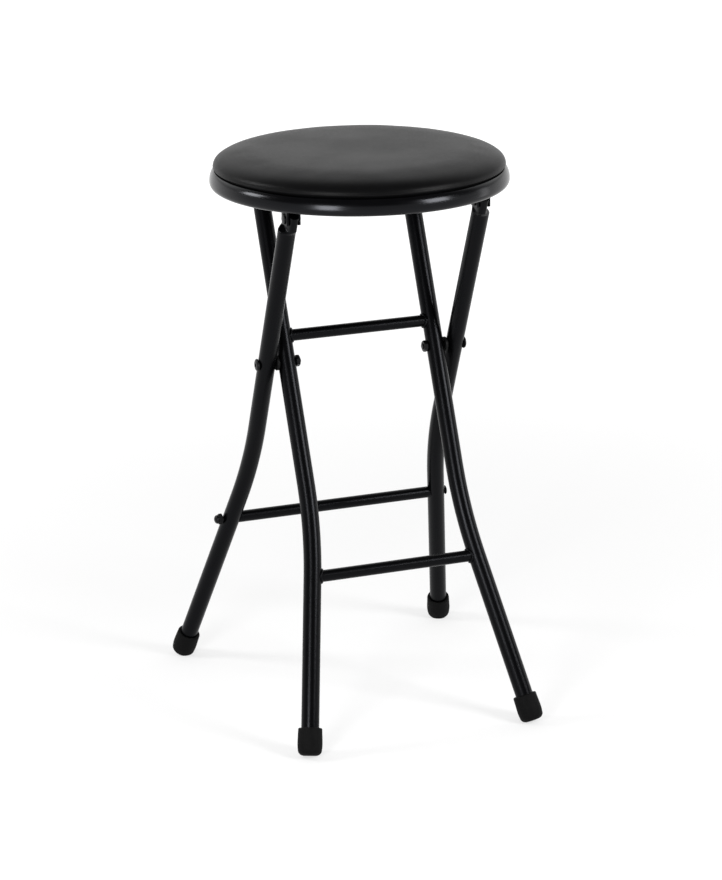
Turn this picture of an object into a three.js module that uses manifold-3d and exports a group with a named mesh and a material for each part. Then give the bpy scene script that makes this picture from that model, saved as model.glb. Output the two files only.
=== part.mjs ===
// A folding bar stool: two tube frames that cross at side pivots, under a round padded seat.
// Millimetres, +Z up. The origin is on the floor, under the middle of the feet. +X runs along
// the rungs and the front of the stool faces -Y.
//
// The outer frame carries the seat hinge at the front. The inner frame goes up to the rear and
// holds the seat up with its top bar, which lies in two saddles under the seat.

import * as THREE from "three";
import { mergeVertices } from "three/addons/utils/BufferGeometryUtils.js";
import Module from "manifold-3d";

const wasm = await Module();
wasm.setup();

// Clearances
const restGap = 0.3; // between pieces that touch
const mergeShare = 0.001; // of the rest gap: points closer than this are one point
const cutOverrun = 2; // how far a cutter runs past what it cuts

// Frame tubes
const tubeDiameter = 19.05;
const tubeWall = 1.2;
const rungDiameter = 12.7;
const rungWall = 1.1;
const pivotHeight = 381.9;
const innerHalfWidth = 85.3; // side pivot plane of the inner legs, from the middle
const frameGap = 3.6; // between an inner and an outer leg at the pivot
const bendRadius = 565; // of the gentle bend below the pivot
const innerBendDrop = 182.1; // pivot to the middle of the bend, along the frame
const outerBendDrop = 138.9;
const upperRungRise = 27.9; // pivot to the inner frame's upper rung
const innerRungDrop = 231.7; // pivot to its lower rung
const outerRungDrop = 217.6;
const frameTilt = THREE.MathUtils.degToRad(24.26); // of each frame, from upright
const splayAngle = THREE.MathUtils.degToRad(10.27); // of the lower legs, in the frame's plane

// Seat
const panHeight = 576.5; // underside of the pan's plate
const panThickness = 1.2;
const panCorner = 0.6; // inside, where the plate turns into the roll
const rimOverhang = 16; // from a seat bracket's outer front corner to the widest part of the rim
const rollRadius = 6.2; // of the roll's lower half
const rollRise = 12.5; // from the widest part to where the upper curve would close
const rollDrop = 2.1; // from the plate's underside down to the widest part
const lipLean = THREE.MathUtils.degToRad(75); // where the roll's upper curve ends
const coverGap = 0.6; // between the cover and the rim's lip
const coverThickness = 1.3;
const coverSwell = 2.6; // how far the cover stands out above the lip
const coverSwellRise = 4.6; // from the lip's top to the widest part of the cover
const edgeRise = 15.6; // from there to the top of the rounded edge
const crownRise = 1.6; // of the middle over the edge
const edgePower = 7.7; // a high value keeps the top flat and the edge tight
const hemClearance = 3; // from the screws to the cover turned in under the board
const hemCorner = 0.25; // where the side turns into the hem
// The cover's side above the lip, in shares of the swell and of the rise to the widest part
const coverSideShares = [
  [0, -0.5],
  [0.25, 0.25],
  [0.83, 0.67],
];
const boardThickness = 9;
const foamRelief = 0.4; // between the foam and the cover

// Seat hinge
const hingeDrop = 19; // hinge axis below the pan's plate
const tongueThickness = 10.4; // of the flattened end of an outer leg
const tongueInset = 2.5; // how far the tongue sits inboard of the leg
const tongueOverreach = 7; // past the hinge axis
const tongueLength = 9.5; // from the hinge axis down to the start of the shoulder
const shoulderLength = 6; // from full tube to tongue
const tongueSquareness = 3.2; // power of its rounded outline, where 2 is an ellipse
const tongueSpreadShare = 0.57; // of the thickness lost, gained again front and back
const earThickness = 2;
const earWidth = 16.5; // front to back, at the tip
const earFlare = 9; // how far an ear widens to the rear, at the strap
const earTipDrop = 6.5; // below the hinge axis
const earCorner = 2;
const bracketLength = 62; // from the front edge of the ears
const bracketThickness = 2;
const bracketScrewSetback = 24; // from the hinge axis to the first screw
const bracketScrewSpacing = 20;
const rivetDiameter = 6;
const rivetHeadDiameter = 11;
const rivetHeadHeight = 1.7;

// Top bar, end plugs and saddles
const topBarDiameter = 19.05;
const legOverrun = 11; // inner leg's end past the top bar's axis
const plugHead = 1.8;
const plugStem = 11;
const plugClearance = 1; // end plug to the pan
const saddleWidth = 24;
const saddleWall = 3.6;
const saddleFlange = 4;
const saddleFrontReach = 17; // from the bar's axis
const saddleRearReach = 27;
const saddleScrewReach = 20;
const saddleOffset = 44; // from the middle of the bar
const saddleBackAngle = THREE.MathUtils.degToRad(-30); // of the cradle's rear lip
const saddleFrontAngle = THREE.MathUtils.degToRad(150);

// Pivots, rung bolt and screws
const pivotBoltDiameter = 6.4;
const pivotHeadDiameter = 13.5;
const pivotHeadHeight = 2.8;
const pivotNutWidth = 11;
const pivotNutHeight = 4.2;
const pivotBoltTip = 1; // bolt's end past its nut
const spacerDiameter = 16;
const rungBoltDiameter = 5;
const rungHeadDiameter = 10;
const rungHeadHeight = 1.2;
const capNutWidth = 10.6;
const capNutBase = 4.4;
const capNutHeight = 9;
const capDomeShare = 0.92; // of the width over the flats
const screwDiameter = 4;
const screwHeadDiameter = 8;
const screwHeadHeight = 2.4;
const screwBite = 6.5; // into the board
const boardScrewMargin = 5; // from a seat bracket's side to the ring of screws in the board

// Feet
const footDiameter = 25.5;
const footLength = 29;
const footBulge = 0.5;
const footBulgeHeight = 11.7;
const footCorner = 6;
const footMouth = 1.6; // roundness of the upper edge
const footFloor = 5; // rubber under the tube's end
const footBite = 1.5; // depth of the flat that rests on the floor

// Faces round a full circle
const legSides = 16;
const rungSides = 16;
const seatSides = 48;
const footSides = 18;
const screwSides = 8;
const headSides = 14;

// Places worked out from the sizes above
const tubeRadius = tubeDiameter / 2;
const rungRadius = rungDiameter / 2;
const topBarRadius = topBarDiameter / 2;
const outerHalfWidth = innerHalfWidth + tubeDiameter + frameGap;
const bendTangent = bendRadius * Math.tan(splayAngle / 2);
const frameToFloor = pivotHeight / Math.cos(frameTilt);
const hingeHeight = panHeight - hingeDrop;
const hingeReach = (hingeHeight - pivotHeight) / Math.cos(frameTilt);
const hingeFront = hingeReach * Math.sin(frameTilt);
const tongueHalf = tongueThickness / 2;
const bracketCentre = outerHalfWidth - tongueInset;
const plugTopRise =
  (legOverrun + plugHead) * Math.cos(frameTilt) + tubeRadius * Math.sin(frameTilt);
const topBarHeight = panHeight - plugClearance - plugTopRise;
const topBarReach = (topBarHeight - pivotHeight) / Math.cos(frameTilt);
const topBarRear = topBarReach * Math.sin(frameTilt);
const innerLegTop = -topBarReach - legOverrun; // as a drop below the pivot
const bracketSide = bracketCentre + tongueHalf + restGap + earThickness;
const rimRadius = Math.hypot(bracketSide, hingeFront + earWidth / 2) + rimOverhang;
const boardScrewRadius = bracketSide + boardScrewMargin;
const rollCentreRadius = rimRadius - rollRadius;
const rollCentreHeight = panHeight - rollDrop;
const lipRadius = rollCentreRadius + rollRadius * Math.cos(lipLean);
const lipHeight = rollCentreHeight + rollRise * Math.sin(lipLean);
const coverRadius = lipRadius - panThickness - coverGap;
const coverWidest = coverRadius + coverSwell;
const coverWidestHeight = lipHeight + coverSwellRise;
const coverBase = panHeight + panThickness + restGap;
const boardBase = coverBase + coverThickness + restGap;
const boardRadius = coverRadius - coverThickness - restGap;
const boardTop = boardBase + boardThickness;
const legLean = Math.acos(Math.cos(frameTilt) * Math.cos(splayAngle));
const footRadius = footDiameter / 2;
const footLift =
  (footCorner + (footRadius - footCorner) * Math.sin(legLean) - footBite) / Math.cos(legLean) -
  footCorner;

// Finishes
const blackPaint = { color: 0x0d0d0f, roughness: 0.32, metalness: 0.2 };
const rimPaint = { color: 0x0a0a0d, roughness: 0.2, metalness: 0.2 };
const vinyl = { color: 0x1b1b1c, roughness: 0.5, metalness: 0 };
const rubber = { color: 0x0b0b0b, roughness: 0.85, metalness: 0 };
const nylon = { color: 0x121213, roughness: 0.6, metalness: 0 };
const blackSteel = { color: 0x151517, roughness: 0.4, metalness: 0.8 };
const plywood = { color: 0x9a7a50, roughness: 0.8, metalness: 0 };
const foam = { color: 0xd9c98f, roughness: 0.95, metalness: 0 };

const stool = new THREE.Group();
const outerFrame = new THREE.Group();
const innerFrame = new THREE.Group();
for (const [frame, tilt] of [
  [outerFrame, frameTilt],
  [innerFrame, -frameTilt],
]) {
  frame.position.z = pivotHeight;
  frame.rotation.x = tilt;
  frame.updateMatrix();
  stool.add(frame);
}

const outer = { halfWidth: outerHalfWidth, bendDrop: outerBendDrop, group: outerFrame };
const inner = { halfWidth: innerHalfWidth, bendDrop: innerBendDrop, group: innerFrame };

function add(parent, name, geometry, finish) {
  const mesh = new THREE.Mesh(geometry, new THREE.MeshStandardMaterial(finish));
  mesh.name = name;
  parent.add(mesh);
  return mesh;
}

// Merges shared vertices, drops faces without area and turns the faces out.
function closed(geometry) {
  const bare = new THREE.BufferGeometry();
  bare.setAttribute("position", geometry.getAttribute("position"));
  bare.setIndex(geometry.index);
  const merged = mergeVertices(bare, restGap * mergeShare);
  const kept = [];
  const index = merged.index.array;
  for (let i = 0; i < index.length; i += 3) {
    const [a, b, c] = index.slice(i, i + 3);
    if (a !== b && b !== c && c !== a) kept.push(a, b, c);
  }
  const at = (i) => new THREE.Vector3().fromBufferAttribute(merged.attributes.position, i);
  let volume = 0;
  for (let i = 0; i < kept.length; i += 3)
    volume += at(kept[i]).dot(at(kept[i + 1]).cross(at(kept[i + 2])));
  if (volume < 0)
    for (let i = 0; i < kept.length; i += 3)
      [kept[i + 1], kept[i + 2]] = [kept[i + 2], kept[i + 1]];
  return merged.setIndex(kept);
}

function toSolid(geometry) {
  const mesh = closed(geometry);
  return new wasm.Manifold(
    new wasm.Mesh({
      numProp: 3,
      vertProperties: new Float32Array(mesh.attributes.position.array),
      triVerts: new Uint32Array(mesh.index.array),
    }),
  );
}

function fromSolid(solid) {
  const mesh = solid.getMesh();
  const geometry = new THREE.BufferGeometry();
  geometry.setAttribute("position", new THREE.BufferAttribute(mesh.vertProperties, 3));
  geometry.setIndex(new THREE.BufferAttribute(mesh.triVerts, 1));
  return geometry;
}

const cut = (geometry, ...tools) =>
  fromSolid(tools.reduce((left, tool) => left.subtract(toSolid(tool)), toSolid(geometry)));

const join = (...geometries) =>
  fromSolid(geometries.map(toSolid).reduce((whole, piece) => whole.add(piece)));

// A solid of revolution round +Z, from a profile of [radius, height] pairs.
const turned = (profile, sides) =>
  closed(
    new THREE.LatheGeometry(
      profile.map(([radius, height]) => new THREE.Vector2(radius, height)),
      sides,
    ).rotateX(Math.PI / 2),
  );

// The same profile with its axis along +X, or along -X for a side of -1.
const turnedAlongX = (profile, sides, side = 1) =>
  turned(profile, sides).rotateY((side * Math.PI) / 2);

const rod = (radius, from, to) => [
  [0, from],
  [radius, from],
  [radius, to],
  [0, to],
];

const ring = (innerRadius, outerRadius, from, to) => [
  [innerRadius, from],
  [outerRadius, from],
  [outerRadius, to],
  [innerRadius, to],
  [innerRadius, from],
];

// A rounded edge from a flat end at height zero out to a radius.
function quarterRound(radius, corner, steps) {
  const points = [];
  for (let i = 0; i <= steps; i++) {
    const angle = (i / steps) * (Math.PI / 2);
    points.push([radius - corner * (1 - Math.sin(angle)), corner * (1 - Math.cos(angle))]);
  }
  return points;
}

// A low round head: flat underneath at the height given, domed above it.
function domedHead(radius, height, from, steps = 3) {
  const dome = [];
  for (let i = 0; i <= steps; i++) {
    const angle = (i / steps) * (Math.PI / 2);
    dome.push([radius * Math.cos(angle), from + (height / 2) * (1 + Math.sin(angle))]);
  }
  return [[radius, from], ...dome];
}

// A tube or bar through rings of points, hollow where inner rings are given.
function loft(outerRings, innerRings = []) {
  const sides = outerRings[0].length;
  const points = [...outerRings.flat(), ...innerRings.flat()];
  const faces = [];
  const quad = (a, b, c, d) => faces.push(a, b, c, a, c, d);
  const skin = (start, rings, flip) => {
    for (let i = 0; i < rings - 1; i++)
      for (let k = 0; k < sides; k++) {
        const next = (k + 1) % sides;
        const low = start + i * sides;
        const high = low + sides;
        if (flip) quad(low + k, high + k, high + next, low + next);
        else quad(low + k, low + next, high + next, high + k);
      }
  };
  const innerStart = outerRings.length * sides;
  const lastOuter = innerStart - sides;
  skin(0, outerRings.length, false);
  if (innerRings.length) {
    skin(innerStart, innerRings.length, true);
    const lastInner = innerStart + (innerRings.length - 1) * sides;
    for (let k = 0; k < sides; k++) {
      const next = (k + 1) % sides;
      quad(next, k, innerStart + k, innerStart + next);
      quad(lastOuter + k, lastOuter + next, lastInner + next, lastInner + k);
    }
  } else {
    for (let k = 1; k < sides - 1; k++) {
      faces.push(0, k + 1, k);
      faces.push(lastOuter, lastOuter + k, lastOuter + k + 1);
    }
  }
  const geometry = new THREE.BufferGeometry().setFromPoints(points);
  geometry.setIndex(faces);
  return closed(geometry);
}

// Where the middle of a leg is at a drop below the pivot, in its frame's plane: how far out,
// and how far it has turned from straight down.
function legAt(frame, drop) {
  const start = frame.bendDrop - bendTangent;
  const arcDrop = bendRadius * Math.sin(splayAngle);
  if (drop <= start) return { out: frame.halfWidth, turn: 0 };
  if (drop < start + arcDrop) {
    const turn = Math.asin((drop - start) / bendRadius);
    return { out: frame.halfWidth + bendRadius * (1 - Math.cos(turn)), turn };
  }
  const arcOut = bendRadius * (1 - Math.cos(splayAngle));
  const past = drop - start - arcDrop;
  return { out: frame.halfWidth + arcOut + past * Math.tan(splayAngle), turn: splayAngle };
}

// The drop of the leg's axis at a distance up from the floor, measured along the leg.
const dropAboveFloor = (distance) => frameToFloor - distance * Math.cos(splayAngle);

// One ring of a leg: half sizes across and front to back, and the power of its outline.
function legRing(side, out, turn, drop, across, deep, power = 2) {
  const points = [];
  for (let k = 0; k < legSides; k++) {
    const angle = ((k + 1 / 2) / legSides) * 2 * Math.PI;
    const [c, s] = [Math.cos(angle), Math.sin(angle)];
    const u = across * Math.sign(c) * Math.abs(c) ** (2 / power);
    const v = deep * Math.sign(s) * Math.abs(s) ** (2 / power);
    points.push(
      new THREE.Vector3(side * (out + u * Math.cos(turn)), v, u * Math.sin(turn) - drop),
    );
  }
  return points;
}

// The drops at which a leg has a ring: its lower end, the steps of its bend, and its top.
function legDrops(frame, top, bottom) {
  const bendSteps = 6;
  const start = frame.bendDrop - bendTangent;
  const drops = [bottom];
  for (let i = bendSteps; i >= 0; i--)
    drops.push(start + bendRadius * Math.sin((i / bendSteps) * splayAngle));
  drops.push(top);
  return drops;
}

// The flattened end: rings from the full tube to the tongue, as shares of the way there.
function tongueRings(side, thin) {
  const shoulderShares = [0, 0.25, 0.5, 0.75, 1];
  const shoulderStart = tongueLength + shoulderLength - hingeReach;
  const deepest = tubeRadius + (tubeRadius - tongueHalf) * tongueSpreadShare;
  const rings = shoulderShares.map((share) => {
    const blend = THREE.MathUtils.smoothstep(share, 0, 1);
    const across = THREE.MathUtils.lerp(tubeRadius, tongueHalf, blend) - thin;
    const deep = THREE.MathUtils.lerp(tubeRadius, deepest, blend) - thin;
    const power = THREE.MathUtils.lerp(2, tongueSquareness, blend);
    const out = outerHalfWidth - tongueInset * blend;
    return legRing(side, out, 0, shoulderStart - share * shoulderLength, across, deep, power);
  });
  const end = -hingeReach - tongueOverreach;
  const out = outerHalfWidth - tongueInset;
  rings.push(
    legRing(side, out, 0, end, tongueHalf - thin, deepest - thin, tongueSquareness),
  );
  return rings;
}

function legRings(frame, side, top, thin) {
  const bottom = dropAboveFloor(footLift + footFloor + restGap);
  return legDrops(frame, top, bottom).map((drop) => {
    const { out, turn } = legAt(frame, drop);
    return legRing(side, out, turn, drop, tubeRadius - thin, tubeRadius - thin);
  });
}

// A leg as a bare rod, grown by the rest gap, to cope the end of a rung against it.
function legCore(frame, side) {
  return loft(legRings(frame, side, innerLegTop, -restGap));
}

function outerLeg(side) {
  const skins = [0, tubeWall].map((thin) => [
    ...legRings(outer, side, tongueLength + shoulderLength + restGap - hingeReach, thin),
    ...tongueRings(side, thin),
  ]);
  const reach = outerHalfWidth + tubeDiameter;
  const hinge = hole(rivetDiameter, 0, reach, side).translate(0, 0, hingeReach);
  const pivot = hole(pivotBoltDiameter, 0, reach, side);
  const bolt = hole(rungBoltDiameter, 0, reach + tubeDiameter, side);
  return cut(loft(...skins), hinge, pivot, bolt.translate(0, 0, -outerRungDrop));
}

function innerLeg(side) {
  const skins = [0, tubeWall].map((thin) => legRings(inner, side, innerLegTop, thin));
  return cut(loft(...skins), hole(pivotBoltDiameter, 0, innerHalfWidth + tubeDiameter, side));
}

// A cutter along X for a pin of the diameter given, with clearance round it.
function hole(diameter, from, to, side) {
  return turnedAlongX(rod(diameter / 2 + restGap, from, to), headSides, side);
}

// A rung or bar between the two legs of a frame, its ends coped to fit round them.
function rung(frame, drop, radius = rungRadius, wall = rungWall, sides = rungSides) {
  const { out } = legAt(frame, drop);
  const tube = turnedAlongX(ring(radius - wall, radius, -out, out), sides);
  tube.translate(0, 0, -drop);
  return cut(tube, legCore(frame, -1), legCore(frame, 1));
}

// The plastic plug in the open top of an inner leg.
function legPlug(side) {
  const stemRadius = tubeRadius - tubeWall - restGap;
  const top = restGap - innerLegTop;
  const profile = [
    [0, top - plugStem],
    [stemRadius, top - plugStem],
    [stemRadius, top],
    ...domedHead(tubeRadius, plugHead, top),
  ];
  return turned(profile, headSides).translate(side * innerHalfWidth, 0, 0);
}

// A rubber foot on the end of a leg, cut flat where it stands on the floor.
function foot(frame, side) {
  const bore = tubeRadius + restGap;
  const corner = quarterRound(footRadius, footCorner, 5);
  const mouth = quarterRound(footRadius, footMouth, 2).map(([r, height]) => [r, footLength - height]);
  const profile = [
    [0, 0],
    ...corner,
    [footRadius + footBulge, footBulgeHeight],
    ...mouth.reverse(),
    [bore, footLength],
    [bore, footFloor],
    [0, footFloor],
  ];
  const drop = dropAboveFloor(footLift);
  const { out, turn } = legAt(frame, drop);
  const geometry = turned(profile, footSides);
  geometry.rotateY(-side * turn).translate(side * out, 0, -drop);
  geometry.applyMatrix4(frame.group.matrix);
  const size = 2 * footLength;
  const under = new THREE.BoxGeometry(size, size, size);
  const centre = new THREE.Vector3(side * out, 0, -drop).applyMatrix4(frame.group.matrix);
  under.translate(centre.x, centre.y, -size / 2);
  return cut(geometry, under);
}

// The pan's rolled rim: a half round below its widest part and a taller curve above it.
function rimCurve(thin, start, lowSteps, highSteps) {
  const points = [];
  for (let i = 0; i <= lowSteps; i++) {
    const angle = start + (i / lowSteps) * (2 * Math.PI - start);
    points.push([
      rollCentreRadius + (rollRadius - thin) * Math.cos(angle),
      rollCentreHeight + (rollRadius - thin) * Math.sin(angle),
    ]);
  }
  for (let i = 1; i <= highSteps; i++) {
    const angle = (i / highSteps) * lipLean;
    points.push([
      rollCentreRadius + rollRadius * Math.cos(angle) - thin,
      rollCentreHeight + rollRise * Math.sin(angle),
    ]);
  }
  return points;
}

function seatPan() {
  const outside = rimCurve(0, Math.PI - Math.asin(rollDrop / rollRadius), 7, 5);
  const plateTop = panHeight + panThickness;
  const innerRoll = rollRadius - panThickness;
  const inside = rimCurve(panThickness, Math.PI, 5, 3);
  const profile = [
    [0, panHeight],
    [rollCentreRadius - rollRadius - panThickness, panHeight],
    ...outside.slice(1),
    ...inside.reverse(),
    [rollCentreRadius - innerRoll - panCorner, plateTop],
    [0, plateTop],
  ];
  return cut(turned(profile, seatSides), ...screwPlaces.map(screwHole));
}

// The cover's outline from the hem under the board, up the side and in over the crown.
function coverOutline(thin, radiusShares) {
  const sideRadius = coverRadius - thin;
  const widest = coverWidest - thin;
  const points = [
    [sideRadius - hemCorner, coverBase + thin],
    [sideRadius, coverBase + thin + hemCorner],
  ];
  for (const [outShare, upShare] of coverSideShares)
    points.push([sideRadius + coverSwell * outShare, lipHeight + coverSwellRise * upShare]);
  for (const share of radiusShares) {
    const rounded = (edgeRise - thin) * Math.sqrt(1 - share ** edgePower);
    const crown = crownRise * (1 - share ** 2);
    points.push([widest * share, coverWidestHeight + rounded + crown]);
  }
  return points;
}

const fineShares = [1, 0.995, 0.98, 0.955, 0.92, 0.87, 0.79, 0.6, 0.3, 0];
const coarseShares = [1, 0.985, 0.94, 0.86, 0.6, 0];

function seatCover() {
  const screwReach = Math.max(...screwPlaces.map(({ x, y }) => Math.hypot(x, y)));
  const hemEnd = screwReach + screwDiameter / 2 + hemClearance;
  const profile = [
    [hemEnd, coverBase],
    ...coverOutline(0, fineShares),
    ...coverOutline(coverThickness, coarseShares).reverse(),
    [hemEnd, coverBase + coverThickness],
    [hemEnd, coverBase],
  ];
  return turned(profile, seatSides);
}

function seatFoam() {
  const thin = coverThickness + foamRelief;
  const base = boardTop + restGap;
  const outline = coverOutline(thin, coarseShares);
  const above = outline.filter(([, height]) => height > base + foamRelief);
  const profile = [[0, base], [boardRadius - foamRelief, base], ...above];
  return turned(profile, seatSides);
}

function seatBoard() {
  const board = turned(rod(boardRadius, boardBase, boardTop), seatSides);
  return cut(board, ...screwPlaces.map(screwHole));
}

// Every screw under the seat: its place, and the height that its head bears on.
const screwPlaces = [];
for (const [side, word] of [
  [-1, "left"],
  [1, "right"],
]) {
  const bracketUnder = panHeight - restGap - bracketThickness;
  for (const [i, end] of ["front", "rear"].entries())
    screwPlaces.push({
      name: `bracket_screw_${end}_${word}`,
      x: side * bracketCentre,
      y: bracketScrewSetback + i * bracketScrewSpacing - hingeFront,
      under: bracketUnder,
    });
  screwPlaces.push({
    name: `saddle_screw_${word}`,
    x: side * saddleOffset,
    y: topBarRear + saddleScrewReach,
    under: panHeight - restGap - saddleFlange,
  });
}
for (const [quarter, word] of ["right", "rear", "left", "front"].entries()) {
  const angle = (quarter * Math.PI) / 2;
  screwPlaces.push({
    name: `board_screw_${word}`,
    x: boardScrewRadius * Math.cos(angle),
    y: boardScrewRadius * Math.sin(angle),
    under: panHeight,
  });
}

function screwHole({ x, y, under }) {
  const radius = screwDiameter / 2 + restGap;
  const to = boardBase + screwBite + restGap;
  return turned(rod(radius, under - cutOverrun, to), screwSides).translate(x, y, 0);
}

function screw({ x, y, under }) {
  const bearing = under - restGap;
  const dome = domedHead(screwHeadDiameter / 2, screwHeadHeight, 0, 2);
  const head = dome.map(([radius, height]) => [radius, bearing - height]);
  const shank = screwDiameter / 2;
  const tip = boardBase + screwBite;
  const profile = [[0, tip], [shank, tip], [shank, bearing], ...head];
  return turned(profile, screwSides).translate(x, y, 0);
}

// A pressed bracket under the pan: a strap with two ears turned down round a leg's tongue.
function seatBracket(side) {
  const inside = tongueHalf + restGap;
  const width = 2 * (inside + earThickness);
  const strapTop = panHeight - restGap;
  const front = -earWidth / 2;
  const strap = new THREE.Shape();
  strap.moveTo(-width / 2, front);
  strap.lineTo(width / 2, front);
  strap.absarc(0, front + bracketLength - width / 2, width / 2, 0, Math.PI);
  const plate = new THREE.ExtrudeGeometry(strap, {
    depth: bracketThickness,
    bevelEnabled: false,
    curveSegments: 8,
  });
  plate.translate(0, 0, strapTop - bracketThickness);
  const ears = [-1, 1].map((way) => {
    const ear = new THREE.ExtrudeGeometry(earShape(strapTop - bracketThickness / 2), {
      depth: earThickness,
      bevelEnabled: false,
      curveSegments: 4,
    });
    ear.rotateX(Math.PI / 2).rotateZ(Math.PI / 2);
    return ear.translate(way > 0 ? inside : -inside - earThickness, 0, 0);
  });
  const bracket = join(plate, ...ears);
  bracket.translate(side * bracketCentre, -hingeFront, 0);
  const pin = hole(rivetDiameter, 0, bracketCentre + width, side);
  pin.translate(0, -hingeFront, hingeHeight);
  const screws = screwPlaces.filter(
    ({ name, x }) => name.startsWith("bracket") && Math.sign(x) === side,
  );
  return cut(bracket, pin, ...screws.map(screwHole));
}

// An ear seen from the side, y to the right and z up, with the hinge in line at y = 0.
function earShape(top) {
  const tip = hingeHeight - earTipDrop;
  const half = earWidth / 2;
  const flareHeight = (top + hingeHeight) / 2;
  const ear = new THREE.Shape();
  ear.moveTo(-half, top);
  ear.lineTo(-half, tip + earCorner);
  ear.absarc(-half + earCorner, tip + earCorner, earCorner, Math.PI, (Math.PI * 3) / 2);
  ear.lineTo(half - earCorner, tip);
  ear.absarc(half - earCorner, tip + earCorner, earCorner, -Math.PI / 2, 0);
  ear.lineTo(half, flareHeight);
  ear.quadraticCurveTo(half, top, half + earFlare, top);
  return ear;
}

// The rivet through both ears and the tongue, with a head at each end.
function seatRivet(side) {
  const grip = tongueHalf + 2 * restGap + earThickness;
  const shank = rivetDiameter / 2;
  const head = domedHead(rivetHeadDiameter / 2, rivetHeadHeight, grip);
  const lower = head.map(([radius, height]) => [radius, -height]).reverse();
  const profile = [...lower, [shank, -grip], [shank, grip], ...head];
  const rivet = turnedAlongX(profile, headSides);
  return rivet.translate(side * bracketCentre, -hingeFront, hingeHeight);
}

// A nylon saddle under the pan, open towards the front and below, where the bar leaves it.
function saddle(side) {
  const bore = topBarRadius + restGap;
  const back = bore + saddleWall;
  const top = panHeight - restGap - topBarHeight;
  const under = top - saddleFlange;
  const shape = new THREE.Shape();
  shape.moveTo(-saddleFrontReach, top);
  shape.lineTo(-saddleFrontReach, under);
  shape.lineTo(back * Math.cos(saddleFrontAngle), back * Math.sin(saddleFrontAngle));
  shape.lineTo(bore * Math.cos(saddleFrontAngle), bore * Math.sin(saddleFrontAngle));
  shape.absarc(0, 0, bore, saddleFrontAngle, saddleBackAngle, true);
  shape.lineTo(back * Math.cos(saddleBackAngle), back * Math.sin(saddleBackAngle));
  shape.absarc(0, 0, back, saddleBackAngle, 0, false);
  shape.lineTo(back, under);
  shape.lineTo(saddleRearReach, under);
  shape.lineTo(saddleRearReach, top);
  const block = new THREE.ExtrudeGeometry(shape, {
    depth: saddleWidth,
    bevelEnabled: false,
    curveSegments: 14,
  });
  block.rotateX(Math.PI / 2).rotateZ(Math.PI / 2);
  block.translate(side * saddleOffset - saddleWidth / 2, topBarRear, topBarHeight);
  const screws = screwPlaces.filter(
    ({ name, x }) => name.startsWith("saddle") && Math.sign(x) === side,
  );
  return cut(block, ...screws.map(screwHole));
}

// The bolt that joins an outer and an inner leg, its head on the outside.
function pivotBolt(side) {
  const bearing = outerHalfWidth + tubeRadius + restGap;
  const shank = pivotBoltDiameter / 2;
  const tip = innerHalfWidth - tubeRadius - 2 * restGap - pivotNutHeight - pivotBoltTip;
  const head = domedHead(pivotHeadDiameter / 2, pivotHeadHeight, bearing);
  const profile = [[0, tip], [shank, tip], [shank, bearing], ...head];
  return turnedAlongX(profile, headSides, side);
}

function pivotNut(side) {
  const top = innerHalfWidth - tubeRadius - restGap;
  const bore = pivotBoltDiameter / 2 + restGap;
  const corner = pivotNutWidth / 2 / Math.cos(Math.PI / 6);
  const hex = turnedAlongX(rod(corner, top - pivotNutHeight, top), 6, side);
  return cut(hex, turnedAlongX(rod(bore, 0, top + cutOverrun), headSides, side));
}

// The spacer ring that keeps the two legs apart at a pivot.
function pivotSpacer(side) {
  const from = innerHalfWidth + tubeRadius + restGap;
  const to = outerHalfWidth - tubeRadius - restGap;
  const bore = pivotBoltDiameter / 2 + restGap;
  return turnedAlongX(ring(bore, spacerDiameter / 2, from, to), headSides, side);
}

// Where the outer face of an outer leg is, at the highest part under a round head.
function rungBearing(headDiameter) {
  const { out, turn } = legAt(outer, outerRungDrop);
  const slope = (headDiameter / 2) * Math.tan(turn);
  return out + tubeRadius / Math.cos(turn) + slope + restGap;
}

// The long bolt through both outer legs and the rung between them.
function rungBolt() {
  const shank = rungBoltDiameter / 2;
  const tip = rungBearing(capNutWidth) + capNutBase;
  const bearing = rungBearing(rungHeadDiameter);
  const head = domedHead(rungHeadDiameter / 2, rungHeadHeight, bearing);
  const profile = [[0, -tip], [shank, -tip], [shank, bearing], ...head];
  return turnedAlongX(profile, headSides).translate(0, 0, -outerRungDrop);
}

function rungCapNut() {
  const bearing = rungBearing(capNutWidth);
  const corner = capNutWidth / 2 / Math.cos(Math.PI / 6);
  const domeRadius = (capNutWidth / 2) * capDomeShare;
  const hex = turnedAlongX(rod(corner, bearing, bearing + capNutBase), 6, -1);
  const domeFrom = bearing + capNutBase / 2;
  const dome = domedHead(domeRadius, capNutHeight - capNutBase / 2, domeFrom, 5);
  const cap = turnedAlongX([[0, domeFrom], ...dome], headSides, -1);
  const bore = rungBoltDiameter / 2 + restGap;
  const boreEnd = bearing + capNutBase + restGap;
  const drill = turnedAlongX(rod(bore, 0, boreEnd), headSides, -1);
  return cut(join(hex, cap), drill).translate(0, 0, -outerRungDrop);
}

for (const [side, word] of [
  [-1, "left"],
  [1, "right"],
]) {
  add(outerFrame, `outer_leg_${word}`, outerLeg(side), blackPaint);
  add(innerFrame, `inner_leg_${word}`, innerLeg(side), blackPaint);
  add(innerFrame, `leg_plug_${word}`, legPlug(side), nylon);
  add(outerFrame, `pivot_bolt_${word}`, pivotBolt(side), blackSteel);
  add(outerFrame, `pivot_nut_${word}`, pivotNut(side), blackSteel);
  add(outerFrame, `pivot_spacer_${word}`, pivotSpacer(side), nylon);
  add(stool, `foot_rear_${word}`, foot(outer, side), rubber);
  add(stool, `foot_front_${word}`, foot(inner, side), rubber);
  add(stool, `seat_bracket_${word}`, seatBracket(side), blackPaint);
  add(stool, `seat_rivet_${word}`, seatRivet(side), blackSteel);
  add(stool, `rear_saddle_${word}`, saddle(side), nylon);
}
add(outerFrame, "outer_rung", rung(outer, outerRungDrop), blackPaint);
add(outerFrame, "rung_bolt", rungBolt(), blackSteel);
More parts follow.
